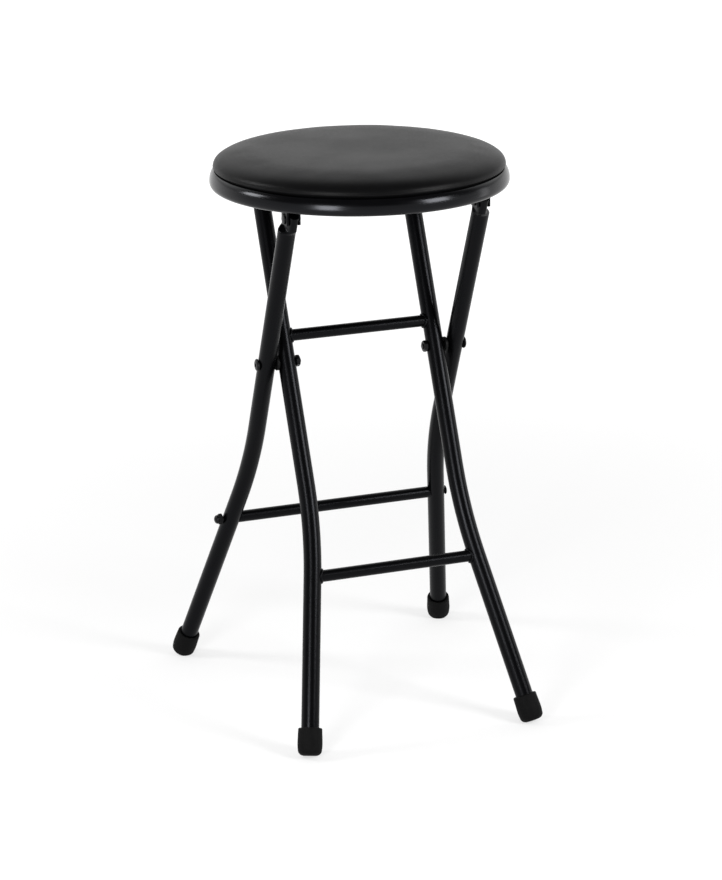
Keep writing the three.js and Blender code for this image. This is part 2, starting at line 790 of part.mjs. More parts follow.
add(outerFrame, "rung_cap_nut", rungCapNut(), blackSteel);
add(innerFrame, "inner_lower_rung", rung(inner, innerRungDrop), blackPaint);
add(innerFrame, "inner_upper_rung", rung(inner, -upperRungRise), blackPaint);
const topBar = rung(inner, -topBarReach, topBarRadius, tubeWall, legSides);
add(innerFrame, "inner_top_bar", topBar, blackPaint);
add(stool, "seat_pan", seatPan(), rimPaint);
add(stool, "seat_board", seatBoard(), plywood);
add(stool, "seat_foam", seatFoam(), foam);
add(stool, "seat_cover", seatCover(), vinyl);
for (const place of screwPlaces) add(stool, place.name, screw(place), blackSteel);

export default stool;
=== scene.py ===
import math

import bmesh
import bpy
import numpy as np
from mathutils import Matrix, Vector


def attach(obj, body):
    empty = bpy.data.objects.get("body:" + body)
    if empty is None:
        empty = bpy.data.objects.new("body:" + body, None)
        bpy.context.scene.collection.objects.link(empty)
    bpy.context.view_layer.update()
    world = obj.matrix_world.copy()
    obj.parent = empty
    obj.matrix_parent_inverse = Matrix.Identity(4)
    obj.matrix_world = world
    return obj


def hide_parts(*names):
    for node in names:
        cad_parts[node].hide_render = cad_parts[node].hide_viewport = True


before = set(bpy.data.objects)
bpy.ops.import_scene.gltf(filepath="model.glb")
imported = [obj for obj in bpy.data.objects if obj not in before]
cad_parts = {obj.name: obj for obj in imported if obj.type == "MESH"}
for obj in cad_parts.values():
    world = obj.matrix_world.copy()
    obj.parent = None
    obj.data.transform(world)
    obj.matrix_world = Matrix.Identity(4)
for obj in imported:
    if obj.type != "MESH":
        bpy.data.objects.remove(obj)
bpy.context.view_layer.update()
bpy.context.scene.view_settings.view_transform = "Standard"

MM = 0.001
NOISE_SPAN = (0.3, 0.7)  # where nearly all of a noise texture's values lie

# Sizes that the part's source gives too
TUBE = 19.05
TUBE_WALL = 1.2
RUNG = 12.7
RUNG_WALL = 1.1
PIVOT_HEIGHT = 381.9
INNER_HALF = 85.3
OUTER_HALF = 107.95
BEND_RADIUS = 565.0
INNER_BEND_DROP = 182.1
OUTER_BEND_DROP = 138.9
UPPER_RUNG_RISE = 27.9
INNER_RUNG_DROP = 231.7
OUTER_RUNG_DROP = 217.6
TILT = math.radians(24.26)
SPLAY = math.radians(10.27)
PAN_HEIGHT = 576.5
PAN_THICK = 1.2
RIM_RADIUS = 158.81
ROLL_RADIUS = 6.2
ROLL_RISE = 12.5
ROLL_DROP = 2.1
LIP_LEAN = math.radians(75)
COVER_SWELL = 2.6
COVER_SWELL_RISE = 4.6
EDGE_RISE = 15.6
CROWN_RISE = 1.6
EDGE_POWER = 7.7
COVER_THICK = 1.3
HINGE_DROP = 19.0
TONGUE_THICK = 10.4
TONGUE_INSET = 2.5
TONGUE_OVERREACH = 7.0
TONGUE_LENGTH = 9.5
SHOULDER_LENGTH = 6.0
TONGUE_SQUARENESS = 3.2
TONGUE_SPREAD = 0.57
EAR_THICK = 2.0
BRACKET_THICK = 2.0
RIVET_HEAD = 11.0
RIVET_SHANK_R = 3.0
RIVET_DOME = 1.7
LEG_OVERRUN = 11.0
PLUG_HEAD = 1.8
PLUG_STEM = 11.0
SADDLE_FLANGE = 4.0
SADDLE_OFFSET = 44.0
PIVOT_HEAD = 13.5
PIVOT_SHANK_R = 3.2
PIVOT_HEAD_RISE = 2.8
PIVOT_NUT = 11.0
PIVOT_NUT_THICK = 4.2
PIVOT_TIP = 1.0
SPACER = 16.0
RUNG_HEAD = 10.0
RUNG_SHANK_R = 2.5
RUNG_HEAD_RISE = 1.2
CAP_NUT = 10.6
CAP_NUT_HEX = 4.4
CAP_DOME_SHARE = 0.92
FOOT_ACROSS = 25.5
FOOT_CORNER = 6.0
FOOT_LIP = 1.6
FOOT_LENGTH = 29.0
FOOT_FLOOR = 5.0
FOOT_LIFT = 2.34
HEM_EDGE = 124.0
GAP = 0.3
COVER_GAP = 0.6
PLUG_GAP = 1.0
BOARD_THICK = 9.0
SCREW_SHANK_R = 2.0
SCREW_HEAD_R = 4.0
SCREW_HEAD_RISE = 2.4
BRACKET_SCREW_SETBACK = 24.0
BRACKET_SCREW_SPACING = 20.0
SADDLE_SCREW_REACH = 20.0
BOARD_SCREW_MARGIN = 5.0

# Sizes of what only this scene has
CHAMFER = 0.4
PIVOT_KEY = 4.0
PIVOT_KEY_DEPTH = 1.7
RUNG_KEY = 3.0
RUNG_KEY_DEPTH = 0.7
CAP_NUT_CROWN = 3.6
SCREW_TIP_R = 1.6
SCREW_LENGTH = 9.6
RUNG_BEAD = 1.75
BAR_BEAD = 1.3
BEAD_STAND = 0.2  # of a weld's line off the tubes
WELD_SINK = 0.2  # of a rung's end into the leg
BEAD_PITCH = 1.9
BEAD_RIPPLE = 0.07
COVER_SLACK = 1.0  # how far the cover may swell
COVER_EASE = 0.5  # how much less far out it starts

# Counts, shares of the seat's radius, and where the lamps stand, in metres
TUBE_SIDES = 48
HEAD_SIDES = 72
CORE_CELLS = 56
ROUND = 4 * CORE_CELLS
CORE_SHARE = 0.62  # where the square net ends
EDGE_SHARE = 0.86  # where the rings draw together
CLOTH_FRAMES = 20
IRON_PASSES = 12
LAMP_AWAY = 1.8
LAMP_AIM = 0.4

# Places worked out from the sizes
TUBE_R = TUBE / 2
RUNG_R = RUNG / 2
TONGUE_HALF = TONGUE_THICK / 2
HINGE_HEIGHT = PAN_HEIGHT - HINGE_DROP
HINGE_REACH = (HINGE_HEIGHT - PIVOT_HEIGHT) / math.cos(TILT)
HINGE_FRONT = HINGE_REACH * math.sin(TILT)
SHOULDER = HINGE_REACH - TONGUE_LENGTH - SHOULDER_LENGTH
BRACKET_CENTRE = OUTER_HALF - TONGUE_INSET
PLUG_TOP_RISE = (LEG_OVERRUN + PLUG_HEAD) * math.cos(TILT) + TUBE_R * math.sin(TILT)
TOP_BAR_HEIGHT = PAN_HEIGHT - PLUG_GAP - PLUG_TOP_RISE
TOP_BAR_REACH = (TOP_BAR_HEIGHT - PIVOT_HEIGHT) / math.cos(TILT)
TOP_BAR_REAR = TOP_BAR_REACH * math.sin(TILT)
FRAME_TO_FLOOR = PIVOT_HEIGHT / math.cos(TILT)
ROLL_CENTRE = RIM_RADIUS - ROLL_RADIUS
ROLL_HEIGHT = PAN_HEIGHT - ROLL_DROP
LIP_RADIUS = ROLL_CENTRE + ROLL_RADIUS * math.cos(LIP_LEAN)
LIP_HEIGHT = ROLL_HEIGHT + ROLL_RISE * math.sin(LIP_LEAN)
COVER_RADIUS = LIP_RADIUS - PAN_THICK - COVER_GAP
COVER_WIDEST = COVER_RADIUS + COVER_SWELL
COVER_WIDEST_HEIGHT = LIP_HEIGHT + COVER_SWELL_RISE
START_WIDEST = COVER_WIDEST - COVER_EASE
START_CROWN = CROWN_RISE - COVER_SLACK
COVER_BASE = PAN_HEIGHT + PAN_THICK + GAP
BOARD_TOP = COVER_BASE + COVER_THICK + GAP + BOARD_THICK

SIDES = ((-1, "left"), (1, "right"))
BEND_HALF = BEND_RADIUS * math.tan(SPLAY / 2)
INNER_LEG = (INNER_HALF, INNER_BEND_DROP - BEND_HALF)
OUTER_LEG = (OUTER_HALF, OUTER_BEND_DROP - BEND_HALF)
OUTER_FRAME = Matrix.Translation((0, 0, PIVOT_HEIGHT)) @ Matrix.Rotation(TILT, 4, "X")
INNER_FRAME = Matrix.Translation((0, 0, PIVOT_HEIGHT)) @ Matrix.Rotation(-TILT, 4, "X")


# Node trees


def feed(tree, node, inputs):
    """Feeds the inputs of a node by values or by other outputs."""
    for key, value in inputs.items():
        socket = node.inputs[key]
        if isinstance(value, bpy.types.NodeSocket):
            tree.links.new(value, socket)
        else:
            socket.default_value = value


def place(tree, kind, inputs=None, **settings):
    """A new node with its options set and its inputs fed."""
    node = tree.nodes.new(kind)
    for name, value in settings.items():
        setattr(node, name, value)
    feed(tree, node, inputs or {})
    return node


def output(tree, kind, inputs=None, **settings):
    """The first output of a new node."""
    return place(tree, kind, inputs, **settings).outputs[0]


def maths(tree, operation, a, b=0.0, c=0.0, clamp=False):
    feeds = {0: a, 1: b, 2: c}
    return output(tree, "ShaderNodeMath", feeds, operation=operation, use_clamp=clamp)


def new_group(name, takes, kind="ShaderNodeTree"):
    """A node group and what it is given, under the names of its inputs.

    Each input comes with its default value, or else with the type of its socket.
    """
    tree = bpy.data.node_groups.new(name, kind)
    for label, default in takes.items():
        number = {float: "Float", int: "Int"}.get(type(default))
        socket_type = "NodeSocket" + (number or default)
        socket = tree.interface.new_socket(label, in_out="INPUT", socket_type=socket_type)
        if number:
            socket.default_value = default
    return tree, tree.nodes.new("NodeGroupInput").outputs


def give(tree, **results):
    """Ends a node group with its outputs."""
    socket_type = "NodeSocketFloat" if tree.type == "SHADER" else "NodeSocketGeometry"
    for label in results:
        tree.interface.new_socket(label, in_out="OUTPUT", socket_type=socket_type)
    feed(tree, tree.nodes.new("NodeGroupOutput"), results)
    return tree


def object_coords(tree):
    return place(tree, "ShaderNodeTexCoord").outputs["Object"]


def height_of(tree, vector):
    return place(tree, "ShaderNodeSeparateXYZ", {0: vector}).outputs["Z"]


def per_metre(tree, size):
    """How many cells of a size in millimetres there are in a metre."""
    return maths(tree, "DIVIDE", 1 / MM, size)


def noise(tree, coords, scale, detail=2.0, rough=0.5, distortion=0.0):
    feeds = {"Vector": coords, "Scale": scale, "Detail": detail, "Roughness": rough}
    return output(tree, "ShaderNodeTexNoise", {**feeds, "Distortion": distortion})


def remap(tree, value, low, high, to_low=0.0, to_high=1.0):
    """Maps low to high onto to_low to to_high, smoothly and held at both ends."""
    feeds = {0: value, 1: low, 2: high, 3: to_low, 4: to_high}
    return output(tree, "ShaderNodeMapRange", feeds, interpolation_type="SMOOTHSTEP")


def blend_colour(tree, share, first, second):
    feeds = {0: share, 6: (*first, 1), 7: (*second, 1)}
    return place(tree, "ShaderNodeMix", feeds, data_type="RGBA").outputs[2]


# Shader groups


def orange_peel_group():
    """The slow waviness of baked paint, with the fine grit that sits on it."""
    takes = {"Cell size": 2.0, "Grit": 0.15}
    tree, given = new_group("Orange peel", takes)
    coords = object_coords(tree)
    scale = per_metre(tree, given["Cell size"])
    waves = noise(tree, coords, scale, 1.0, 0.4)
    grit = noise(tree, coords, maths(tree, "MULTIPLY", scale, 6.0), 2.0)
    return give(tree, Height=maths(tree, "MULTIPLY_ADD", grit, given["Grit"], waves))


def leather_grain_group():
    """Pressed grain of upholstery vinyl: rounded pebbles parted by fine creases."""
    takes = {"Pebble size": 1.2, "Crease width": 0.22}
    tree, given = new_group("Leather grain", takes)
    coords = object_coords(tree)
    feeds = {"Vector": coords, "Scale": 420.0, "Detail": 2.0}
    bend = place(tree, "ShaderNodeTexNoise", feeds).outputs["Color"]
    feeds = {0: bend, 1: (0.7 * MM,) * 3, 2: coords}
    shifted = output(tree, "ShaderNodeVectorMath", feeds, operation="MULTIPLY_ADD")
    scale = per_metre(tree, given["Pebble size"])
    feeds = {"Vector": shifted, "Scale": scale, "Randomness": 0.9}
    pebbles = output(tree, "ShaderNodeTexVoronoi", feeds, feature="DISTANCE_TO_EDGE")
    rise = remap(tree, pebbles, 0.0, given["Crease width"])
    crease = maths(tree, "SUBTRACT", 1.0, rise)
    pores = noise(tree, coords, 2600.0, 2.0)
    return give(tree, Height=maths(tree, "MULTIPLY_ADD", pores, 0.25, rise), Crease=crease)


def scuff_group():
    """Where hands and shoes have rubbed: soft patches broken up by fine scratches."""
    takes = {"Patch size": 40.0, "Amount": 0.3}
    tree, given = new_group("Handling scuffs", takes)
    coords = object_coords(tree)
    patches = noise(tree, coords, per_metre(tree, given["Patch size"]), 3.0)
    edge = maths(tree, "SUBTRACT", 0.72, maths(tree, "MULTIPLY", given["Amount"], 0.3))
    spread = remap(tree, patches, edge, maths(tree, "ADD", edge, 0.15))
    feeds = {"Vector": coords, "Scale": (2400.0, 500.0, 160.0)}
    streaks = output(tree, "ShaderNodeMapping", feeds)
    fine = remap(tree, noise(tree, streaks, 1.0, 2.0), 0.5, 0.66)
    return give(tree, Mask=maths(tree, "MULTIPLY", spread, fine))


def dust_and_sheen_group():
    """Dust that settles on what faces up, in faint clouds. On the vinyl it is also painted sheen
    that lightens the seat's top.
    """
    takes = {"Amount": 0.2, "Cloud size": 12.0}
    tree, given = new_group("Settled dust and sheen", takes)
    up = height_of(tree, place(tree, "ShaderNodeNewGeometry").outputs["Normal"])
    clouds = noise(tree, object_coords(tree), per_metre(tree, given["Cloud size"]), 4.0)
    facing = remap(tree, up, 0.1, 1.0)
    drift = maths(tree, "MULTIPLY", facing, remap(tree, clouds, 0.35, 0.75))
    return give(tree, Mask=maths(tree, "MULTIPLY", drift, given["Amount"]))


ORANGE_PEEL = orange_peel_group()
LEATHER_GRAIN = leather_grain_group()
SCUFFS = scuff_group()
DUST_AND_SHEEN = dust_and_sheen_group()


def use(tree, group, values):
    return place(tree, "ShaderNodeGroup", values, node_tree=group).outputs


# Finishes


def new_finish(name):
    """A new material, its node tree and the coordinates on its object."""
    finish = bpy.data.materials.new(name)
    finish.use_nodes = True
    return finish, finish.node_tree, object_coords(finish.node_tree)


def coat(finish, colour, rough, height, depth, levels):
    """Feeds a finish. Its bump's height runs from 0 to about 1, its depth is in millimetres."""
    tree = finish.node_tree
    feeds = {"Height": height, "Distance": depth * MM, "Strength": 1.0}
    bump = output(tree, "ShaderNodeBump", feeds)
    shader = tree.nodes["Principled BSDF"]
    feed(tree, shader, {"Base Color": colour, "Roughness": rough, "Normal": bump, **levels})
    return finish


def paint(name, colours, gloss, matte, cell, depth, scuffing, specular):
    """Black paint on steel: gloss and matte are the roughness of clean and rubbed places.

    The colours are those of the same places. The orange peel's cell size and depth are in
    millimetres.
    """
    finish, tree, coords = new_finish(name)
    peel = use(tree, ORANGE_PEEL, {"Cell size": cell, "Grit": 0.2})["Height"]
    scuffs = use(tree, SCUFFS, {"Amount": scuffing})["Mask"]
    dust = use(tree, DUST_AND_SHEEN, {"Amount": 0.1})["Mask"]
    marks = maths(tree, "ADD", scuffs, dust, clamp=True)
    tone = blend_colour(tree, marks, *colours)
    uneven = remap(tree, noise(tree, coords, 22.0, 3.0), *NOISE_SPAN, gloss, gloss * 1.18)
    rubbed = maths(tree, "MULTIPLY_ADD", scuffs, matte - gloss, uneven)
    levels = {"Specular IOR Level": specular, "Specular Tint": (0.9, 0.92, 1.0, 1)}
    return coat(finish, tone, rubbed, peel, depth, levels)


def vinyl():
    finish, tree, coords = new_finish("black seat vinyl")
    grain = use(tree, LEATHER_GRAIN, {"Pebble size": 1.3, "Crease width": 0.42})
    scuffs = use(tree, SCUFFS, {"Patch size": 60.0, "Amount": 0.35})["Mask"]
    # Lightens what faces up: settled dust, and painted sheen that makes the seat's top lighter
    # than its sides.
    dust = use(tree, DUST_AND_SHEEN, {"Amount": 0.12, "Cloud size": 30.0})["Mask"]
    marks = maths(tree, "ADD", maths(tree, "MULTIPLY", scuffs, 0.5), dust, clamp=True)
    tone = blend_colour(tree, marks, (0.003, 0.003, 0.0032), (0.016, 0.016, 0.0166))
    sheen = remap(tree, noise(tree, coords, 14.0, 3.0), *NOISE_SPAN, 0.29, 0.33)
    creased = maths(tree, "MULTIPLY_ADD", grain["Crease"], 0.1, sheen)
    return coat(finish, tone, creased, grain["Height"], 0.035, {"Specular IOR Level": 0.07})


def rubber():
    finish, tree, coords = new_finish("moulded foot rubber")
    dust = use(tree, DUST_AND_SHEEN, {"Amount": 0.25, "Cloud size": 5.0})["Mask"]
    grime = remap(tree, height_of(tree, coords), 12 * MM, 0.0, 0.0, 0.35)
    smears = remap(tree, noise(tree, coords, 160.0, 4.0), 0.4, 0.7)
    dirt = maths(tree, "ADD", dust, maths(tree, "MULTIPLY", grime, smears), clamp=True)
    tone = blend_colour(tree, dirt, (0.003, 0.003, 0.0031), (0.02, 0.0195, 0.0185))
    skin = noise(tree, coords, 900.0, 3.0)
    rough = remap(tree, skin, *NOISE_SPAN, 0.62, 0.76)
    return coat(finish, tone, rough, skin, 0.06, {"Specular IOR Level": 0.08})


def nylon():
    finish, tree, coords = new_finish("moulded black nylon")
    skin = noise(tree, coords, 1400.0, 3.0)
    flow = noise(tree, coords, 60.0, 2.0, distortion=1.5)
    tone = blend_colour(tree, flow, (0.003, 0.003, 0.0032), (0.005, 0.005, 0.0053))
    rough = remap(tree, skin, *NOISE_SPAN, 0.42, 0.56)
    return coat(finish, tone, rough, skin, 0.03, {"Specular IOR Level": 0.1})


def black_zinc():
    finish, tree, coords = new_finish("black zinc plate")
    cloud = noise(tree, coords, 240.0, 3.0)
    scuffs = use(tree, SCUFFS, {"Patch size": 6.0, "Amount": 0.5})["Mask"]
    tone = blend_colour(tree, scuffs, (0.008, 0.008, 0.0086), (0.03, 0.03, 0.031))
    rough = remap(tree, cloud, *NOISE_SPAN, 0.3, 0.42)
    grit = noise(tree, coords, 1800.0, 2.0)
    return coat(finish, tone, rough, grit, 0.01, {"Metallic": 0.85})


def plywood():
    finish, tree, coords = new_finish("seat board plywood")
    ply = 1.8 * MM
    plies = maths(tree, "FRACT", maths(tree, "DIVIDE", height_of(tree, coords), ply))
    feeds = {"Vector": coords, "Scale": (14.0, 260.0, 260.0)}
    fibre = noise(tree, output(tree, "ShaderNodeMapping", feeds), 1.0, 5.0, 0.6)
    layers = remap(tree, plies, 0.45, 0.55, 0.0, 0.3)
    tone = maths(tree, "MULTIPLY_ADD", fibre, 0.7, layers)
    colour = blend_colour(tree, tone, (0.3, 0.19, 0.095), (0.55, 0.39, 0.22))
    return coat(finish, colour, 0.75, fibre, 0.1, {})


FRAME_PAINT = paint(
    "frame powder coat",
    ((0.0008, 0.0008, 0.001), (0.008, 0.008, 0.0083)),
    gloss=0.25, matte=0.4, cell=1.6, depth=0.006, scuffing=0.15, specular=0.095,
)
RIM_PAINT = paint(
    "rim gloss paint",
    ((0.0004, 0.0004, 0.0006), (0.006, 0.006, 0.0062)),
    gloss=0.175, matte=0.35, cell=2.4, depth=0.005, scuffing=0.1, specular=0.18,
)
VINYL = vinyl()
RUBBER = rubber()
NYLON = nylon()
BLACK_ZINC = black_zinc()
PLYWOOD = plywood()
SLOT_FINISHES = {
    "frame_paint": FRAME_PAINT,
    "rim_paint": RIM_PAINT,
    "vinyl": VINYL,
    "rubber": RUBBER,
    "nylon": NYLON,
    "black_steel": BLACK_ZINC,
}


# Mesh helpers


def editable(mesh):
    bm = bmesh.new()
    bm.from_mesh(mesh)
    return bm


def to_mesh(bm, angle=35.0):
    """A smooth mesh, with sharp edges only where it turns by more than the angle."""
    for face in bm.faces:
        face.smooth = True
    for edge in bm.edges:
        edge.smooth = edge.calc_face_angle(0.0) < math.radians(angle)
    mesh = bpy.data.meshes.new("mesh")
    bm.to_mesh(mesh)
    bm.free()
    return mesh


def skin(bm, rings, capped=False, close=False):
    """Faces through rings of points that all have the same count."""
    rows = [[bm.verts.new(point) for point in ring] for ring in rings]
    count = len(rows[0])
    pairs = list(zip(rows, rows[1:]))
    if close:
        pairs.append((rows[-1], rows[0]))
    for low, high in pairs:
        for k in range(count):
            after = (k + 1) % count
            bm.faces.new((low[k], low[after], high[after], high[k]))
    if capped:
        bm.faces.new(list(reversed(rows[0])))
        bm.faces.new(rows[-1])


def outward(bm):
    bmesh.ops.recalc_face_normals(bm, faces=bm.faces)


def on_circle(radius, angle):
    return radius * math.cos(angle), radius * math.sin(angle)


def arc(centre, radius, start, end, steps):
    """Points of an arc, its angles in degrees."""
    points = []
    for i in range(steps + 1):
        x, y = on_circle(radius, math.radians(start + (end - start) * i / steps))
        points.append((centre[0] + x, centre[1] + y))
    return points


def holding(data, name="holder"):
    """A new object in the scene that holds a mesh, a camera or a lamp."""
    holder = bpy.data.objects.new(name, data)
    bpy.context.scene.collection.objects.link(holder)
    return holder


def worked_out(holder):
    """The plain mesh that an object's modifiers make of its own, which then goes."""
    depsgraph = bpy.context.evaluated_depsgraph_get()
    made = bpy.data.meshes.new_from_object(holder.evaluated_get(depsgraph), depsgraph=depsgraph)
    bpy.data.objects.remove(holder)
    return made


def changed(mesh, kind, **options):
    """The plain mesh that one modifier makes of a mesh."""
    holder = holding(mesh)
    modifier = holder.modifiers.new("change", kind)
    for name, value in options.items():
        setattr(modifier, name, value)
    return worked_out(holder)


def joined(meshes, angle=35.0):
    bm = bmesh.new()
    for mesh in meshes:
        bm.from_mesh(mesh)
    return to_mesh(bm, angle)


def moved(mesh, matrix):
    mesh.transform(matrix)
    return mesh


def put_on(name, mesh, body, slot, *nodes):
    """Makes the mesh a piece in metres that rides on a body and stands for CAD nodes."""
    mesh.name = name
    mesh.transform(Matrix.Scale(MM, 4))
    mesh.materials.clear()
    mesh.materials.append(SLOT_FINISHES[slot])
    piece = holding(mesh, name)
    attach(piece, body)
    if nodes:
        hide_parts(*nodes)
    return piece


# Geometry node trees


def give_finished(tree, geometry, finish):
    """Ends a tree with real geometry that has its finish on."""
    real = output(tree, "GeometryNodeRealizeInstances", {0: geometry})
    feeds = {"Geometry": real, "Material": finish}
    return give(tree, Geometry=output(tree, "GeometryNodeSetMaterial", feeds))


def circle(tree, sides, radius):
    feeds = {"Resolution": sides, "Radius": radius}
    return output(tree, "GeometryNodeCurvePrimitiveCircle", feeds)


def tube_tree():
    """A round tube that follows the edges of a path."""
    takes = {"Path": "Geometry", "Tube radius": 9.5, "Sides": 48, "Finish": "Material"}
    tree, given = new_group("Tube on a path", takes, "GeometryNodeTree")
    line = output(tree, "GeometryNodeMeshToCurve", {0: given["Path"]})
    section = circle(tree, given["Sides"], given["Tube radius"])
    feeds = {"Curve": line, "Profile Curve": section, "Fill Caps": True}
    return give_finished(tree, output(tree, "GeometryNodeCurveToMesh", feeds), given["Finish"])


def bead_tree():
    """A weld bead along closed paths, with the ripples that the torch leaves."""
    takes = {"Path": "Geometry", "Bead radius": 1.7, "Ripple pitch": 1.6, "Ripple depth": 0.1}
    takes["Finish"] = "Material"
    tree, given = new_group("Weld bead", takes, "GeometryNodeTree")
    line = output(tree, "GeometryNodeMeshToCurve", {0: given["Path"]})
    along = place(tree, "GeometryNodeSplineParameter").outputs["Length"]
    phase = maths(tree, "DIVIDE", along, given["Ripple pitch"])
    wave = maths(tree, "SINE", maths(tree, "MULTIPLY", phase, 2 * math.pi))
    size = maths(tree, "MULTIPLY_ADD", wave, given["Ripple depth"], 1.0)
    section = circle(tree, 12, given["Bead radius"])
    feeds = {"Curve": line, "Profile Curve": section, "Scale": size}
    return give_finished(tree, output(tree, "GeometryNodeCurveToMesh", feeds), given["Finish"])


def copies_tree():
    """Copies of one shape on points, each turned as its point says."""
    takes = {"Points": "Geometry", "Shape": "Object", "Finish": "Material"}
    tree, given = new_group("Copies on points", takes, "GeometryNodeTree")
    shape = place(tree, "GeometryNodeObjectInfo", {"Object": given["Shape"]})
    feeds = {"Name": "turn"}
    turn = output(tree, "GeometryNodeInputNamedAttribute", feeds, data_type="FLOAT_VECTOR")
    feeds = {
        "Points": given["Points"],
        "Instance": shape.outputs["Geometry"],
        "Rotation": output(tree, "FunctionNodeEulerToRotation", {0: turn}),
    }
    copies = output(tree, "GeometryNodeInstanceOnPoints", feeds)
    return give_finished(tree, copies, given["Finish"])


TUBE_TREE = tube_tree()
BEAD_TREE = bead_tree()
COPIES_TREE = copies_tree()


def grown(tree, start, values):
    """Runs a geometry node tree on a mesh and returns the plain mesh that it makes."""
    holder = holding(start)
    modifier = holder.modifiers.new("nodes", "NODES")
    modifier.node_group = tree
    for item in tree.interface.items_tree:
        if item.item_type == "SOCKET" and item.in_out == "INPUT" and item.name in values:
            modifier[item.identifier] = values[item.name]
    return worked_out(holder)


def path_mesh(lines, closed=False):
    """A mesh of edges through each list of points."""
    points, edges = [], []
    for line in lines:
        first = len(points)
        points += [tuple(p) for p in line]
        edges += [(first + i, first + i + 1) for i in range(len(line) - 1)]
        if closed:
            edges.append((len(points) - 1, first))
    mesh = bpy.data.meshes.new("path")
    mesh.from_pydata(points, edges, [])
    return mesh


def copies(shape, matrices, finish):
    """One mesh with a copy of the shape at each matrix."""
    mesh = bpy.data.meshes.new("points")
    mesh.from_pydata([tuple(m.translation) for m in matrices], [], [])
    turn = mesh.attributes.new("turn", "FLOAT_VECTOR", "POINT")
    turn.data.foreach_set("vector", [a for m in matrices for a in m.to_euler()])
    model = holding(shape, "shape")
    made = grown(COPIES_TREE, mesh, {"Shape": model, "Finish": finish})
    bpy.data.objects.remove(model)
    return made


def tube(path, radius, wall, reshape=None):
    """A hollow painted tube along a path, its vertices passed through reshape if given."""
    values = {"Tube radius": radius, "Sides": TUBE_SIDES, "Finish": FRAME_PAINT}
    bm = editable(grown(TUBE_TREE, path_mesh([path]), values))
    bmesh.ops.remove_doubles(bm, verts=bm.verts, dist=0.001)
    outward(bm)
    ends = [face for face in bm.faces if len(face.verts) > 4]
    bmesh.ops.delete(bm, geom=ends, context="FACES_ONLY")
    if reshape:
        for vert in bm.verts:
            vert.co = reshape(vert.co)
    options = {"thickness": wall, "offset": -1.0, "use_even_offset": True}
    return to_mesh(editable(changed(to_mesh(bm, 40), "SOLIDIFY", **options)), 40)


# Frames


def leg_at(leg, drop):
    """How far out the middle of a leg is at a drop below the pivot, and how it has turned.

    A leg is how far out its straight part is and the drop where its bend starts.
    """
    half, start = leg
    bend = BEND_RADIUS * math.sin(SPLAY)
    if drop <= start:
        return half, 0.0
    if drop < start + bend:
        turn = math.asin((drop - start) / BEND_RADIUS)
        return half + BEND_RADIUS * (1 - math.cos(turn)), turn
    swung = half + BEND_RADIUS * (1 - math.cos(SPLAY))
    return swung + (drop - start - bend) * math.tan(SPLAY), SPLAY


def leg_path(leg, side, top, extra=()):
    """Points down the middle of a leg, closer together round its bend."""
    bottom = FRAME_TO_FLOOR - (FOOT_LIFT + FOOT_FLOOR + GAP) * math.cos(SPLAY)
    bend = [leg[1] + BEND_RADIUS * math.sin(SPLAY * i / 24) for i in range(25)]
    drops = sorted([bottom, *bend, *extra, top], reverse=True)
    return [(side * leg_at(leg, drop)[0], 0, -drop) for drop in drops]


def tongue(side):
    """Draws the tube's round section in to the flattened tongue above its shoulder."""
    deepest = TUBE_R + (TUBE_R - TONGUE_HALF) * TONGUE_SPREAD

    def reshape(point):
        share = min((point.z - SHOULDER) / SHOULDER_LENGTH, 1)
        if share <= 0:
            return point
        soft = share * share * (3 - 2 * share)
        angle = math.atan2(point.y, side * point.x - OUTER_HALF)
        power = 2 + (TONGUE_SQUARENESS - 2) * soft
        across = TUBE_R + (TONGUE_HALF - TUBE_R) * soft
        deep = TUBE_R + (deepest - TUBE_R) * soft
        c, s = math.cos(angle), math.sin(angle)
        u = across * math.copysign(abs(c) ** (2 / power), c)
        v = deep * math.copysign(abs(s) ** (2 / power), s)
        return Vector((side * (OUTER_HALF - TONGUE_INSET * soft + u), v, point.z))

    return reshape


def coped(leg, drop, clear):
    """How far a rung reaches to the round of the leg, clear of it, and what ends it there."""
    out, turn = leg_at(leg, drop)

    def reach(y, rise):
        round_part = math.sqrt(max((TUBE_R + clear) ** 2 - y * y, 0))
        return out - (round_part + rise * math.sin(turn)) / math.cos(turn)

    def reshape(point):
        limit = reach(point.y, point.z + drop)
        if abs(point.x) < out - TUBE_R * 2.5:
            return point
        return Vector((math.copysign(limit, point.x), point.y, point.z))

    return reach, reshape


def rung(leg, drop, radius, wall, clear):
    """A tube between both legs. A clear below zero sinks its ends into them."""
    out = leg_at(leg, drop)[0]
    stops = [out - TUBE_R, out - 3 * TUBE_R, out / 3]
    path = [(x, 0, -drop) for x in [-s for s in stops] + stops[::-1]]
    return tube(path, radius, wall, coped(leg, drop, clear)[1])


def weld(leg, drop, radius, bead):
    """The beads round both ends of a rung, a little off the surface."""
    reach = coped(leg, drop, BEAD_STAND)[0]
    loops = []
    for side in (-1, 1):
        loop = []
        for k in range(64):
            y, rise = on_circle(radius + BEAD_STAND, 2 * math.pi * k / 64)
            held = min(max(y, -TUBE_R), TUBE_R)
            loop.append((side * reach(held, rise), y, rise - drop))
        loops.append(loop)
    values = {"Bead radius": bead, "Ripple pitch": BEAD_PITCH, "Ripple depth": BEAD_RIPPLE}
    values["Finish"] = FRAME_PAINT
    bm = editable(grown(BEAD_TREE, path_mesh(loops, closed=True), values))
    outward(bm)
    return to_mesh(bm, 60)


def put_on_frame(name, mesh, body, *nodes):
    """Paints a mesh that was made upright and tilts it with its frame."""
    matrix = OUTER_FRAME if body == "outer_frame" else INNER_FRAME
    put_on(name, moved(mesh, matrix), body, "frame_paint", *nodes)


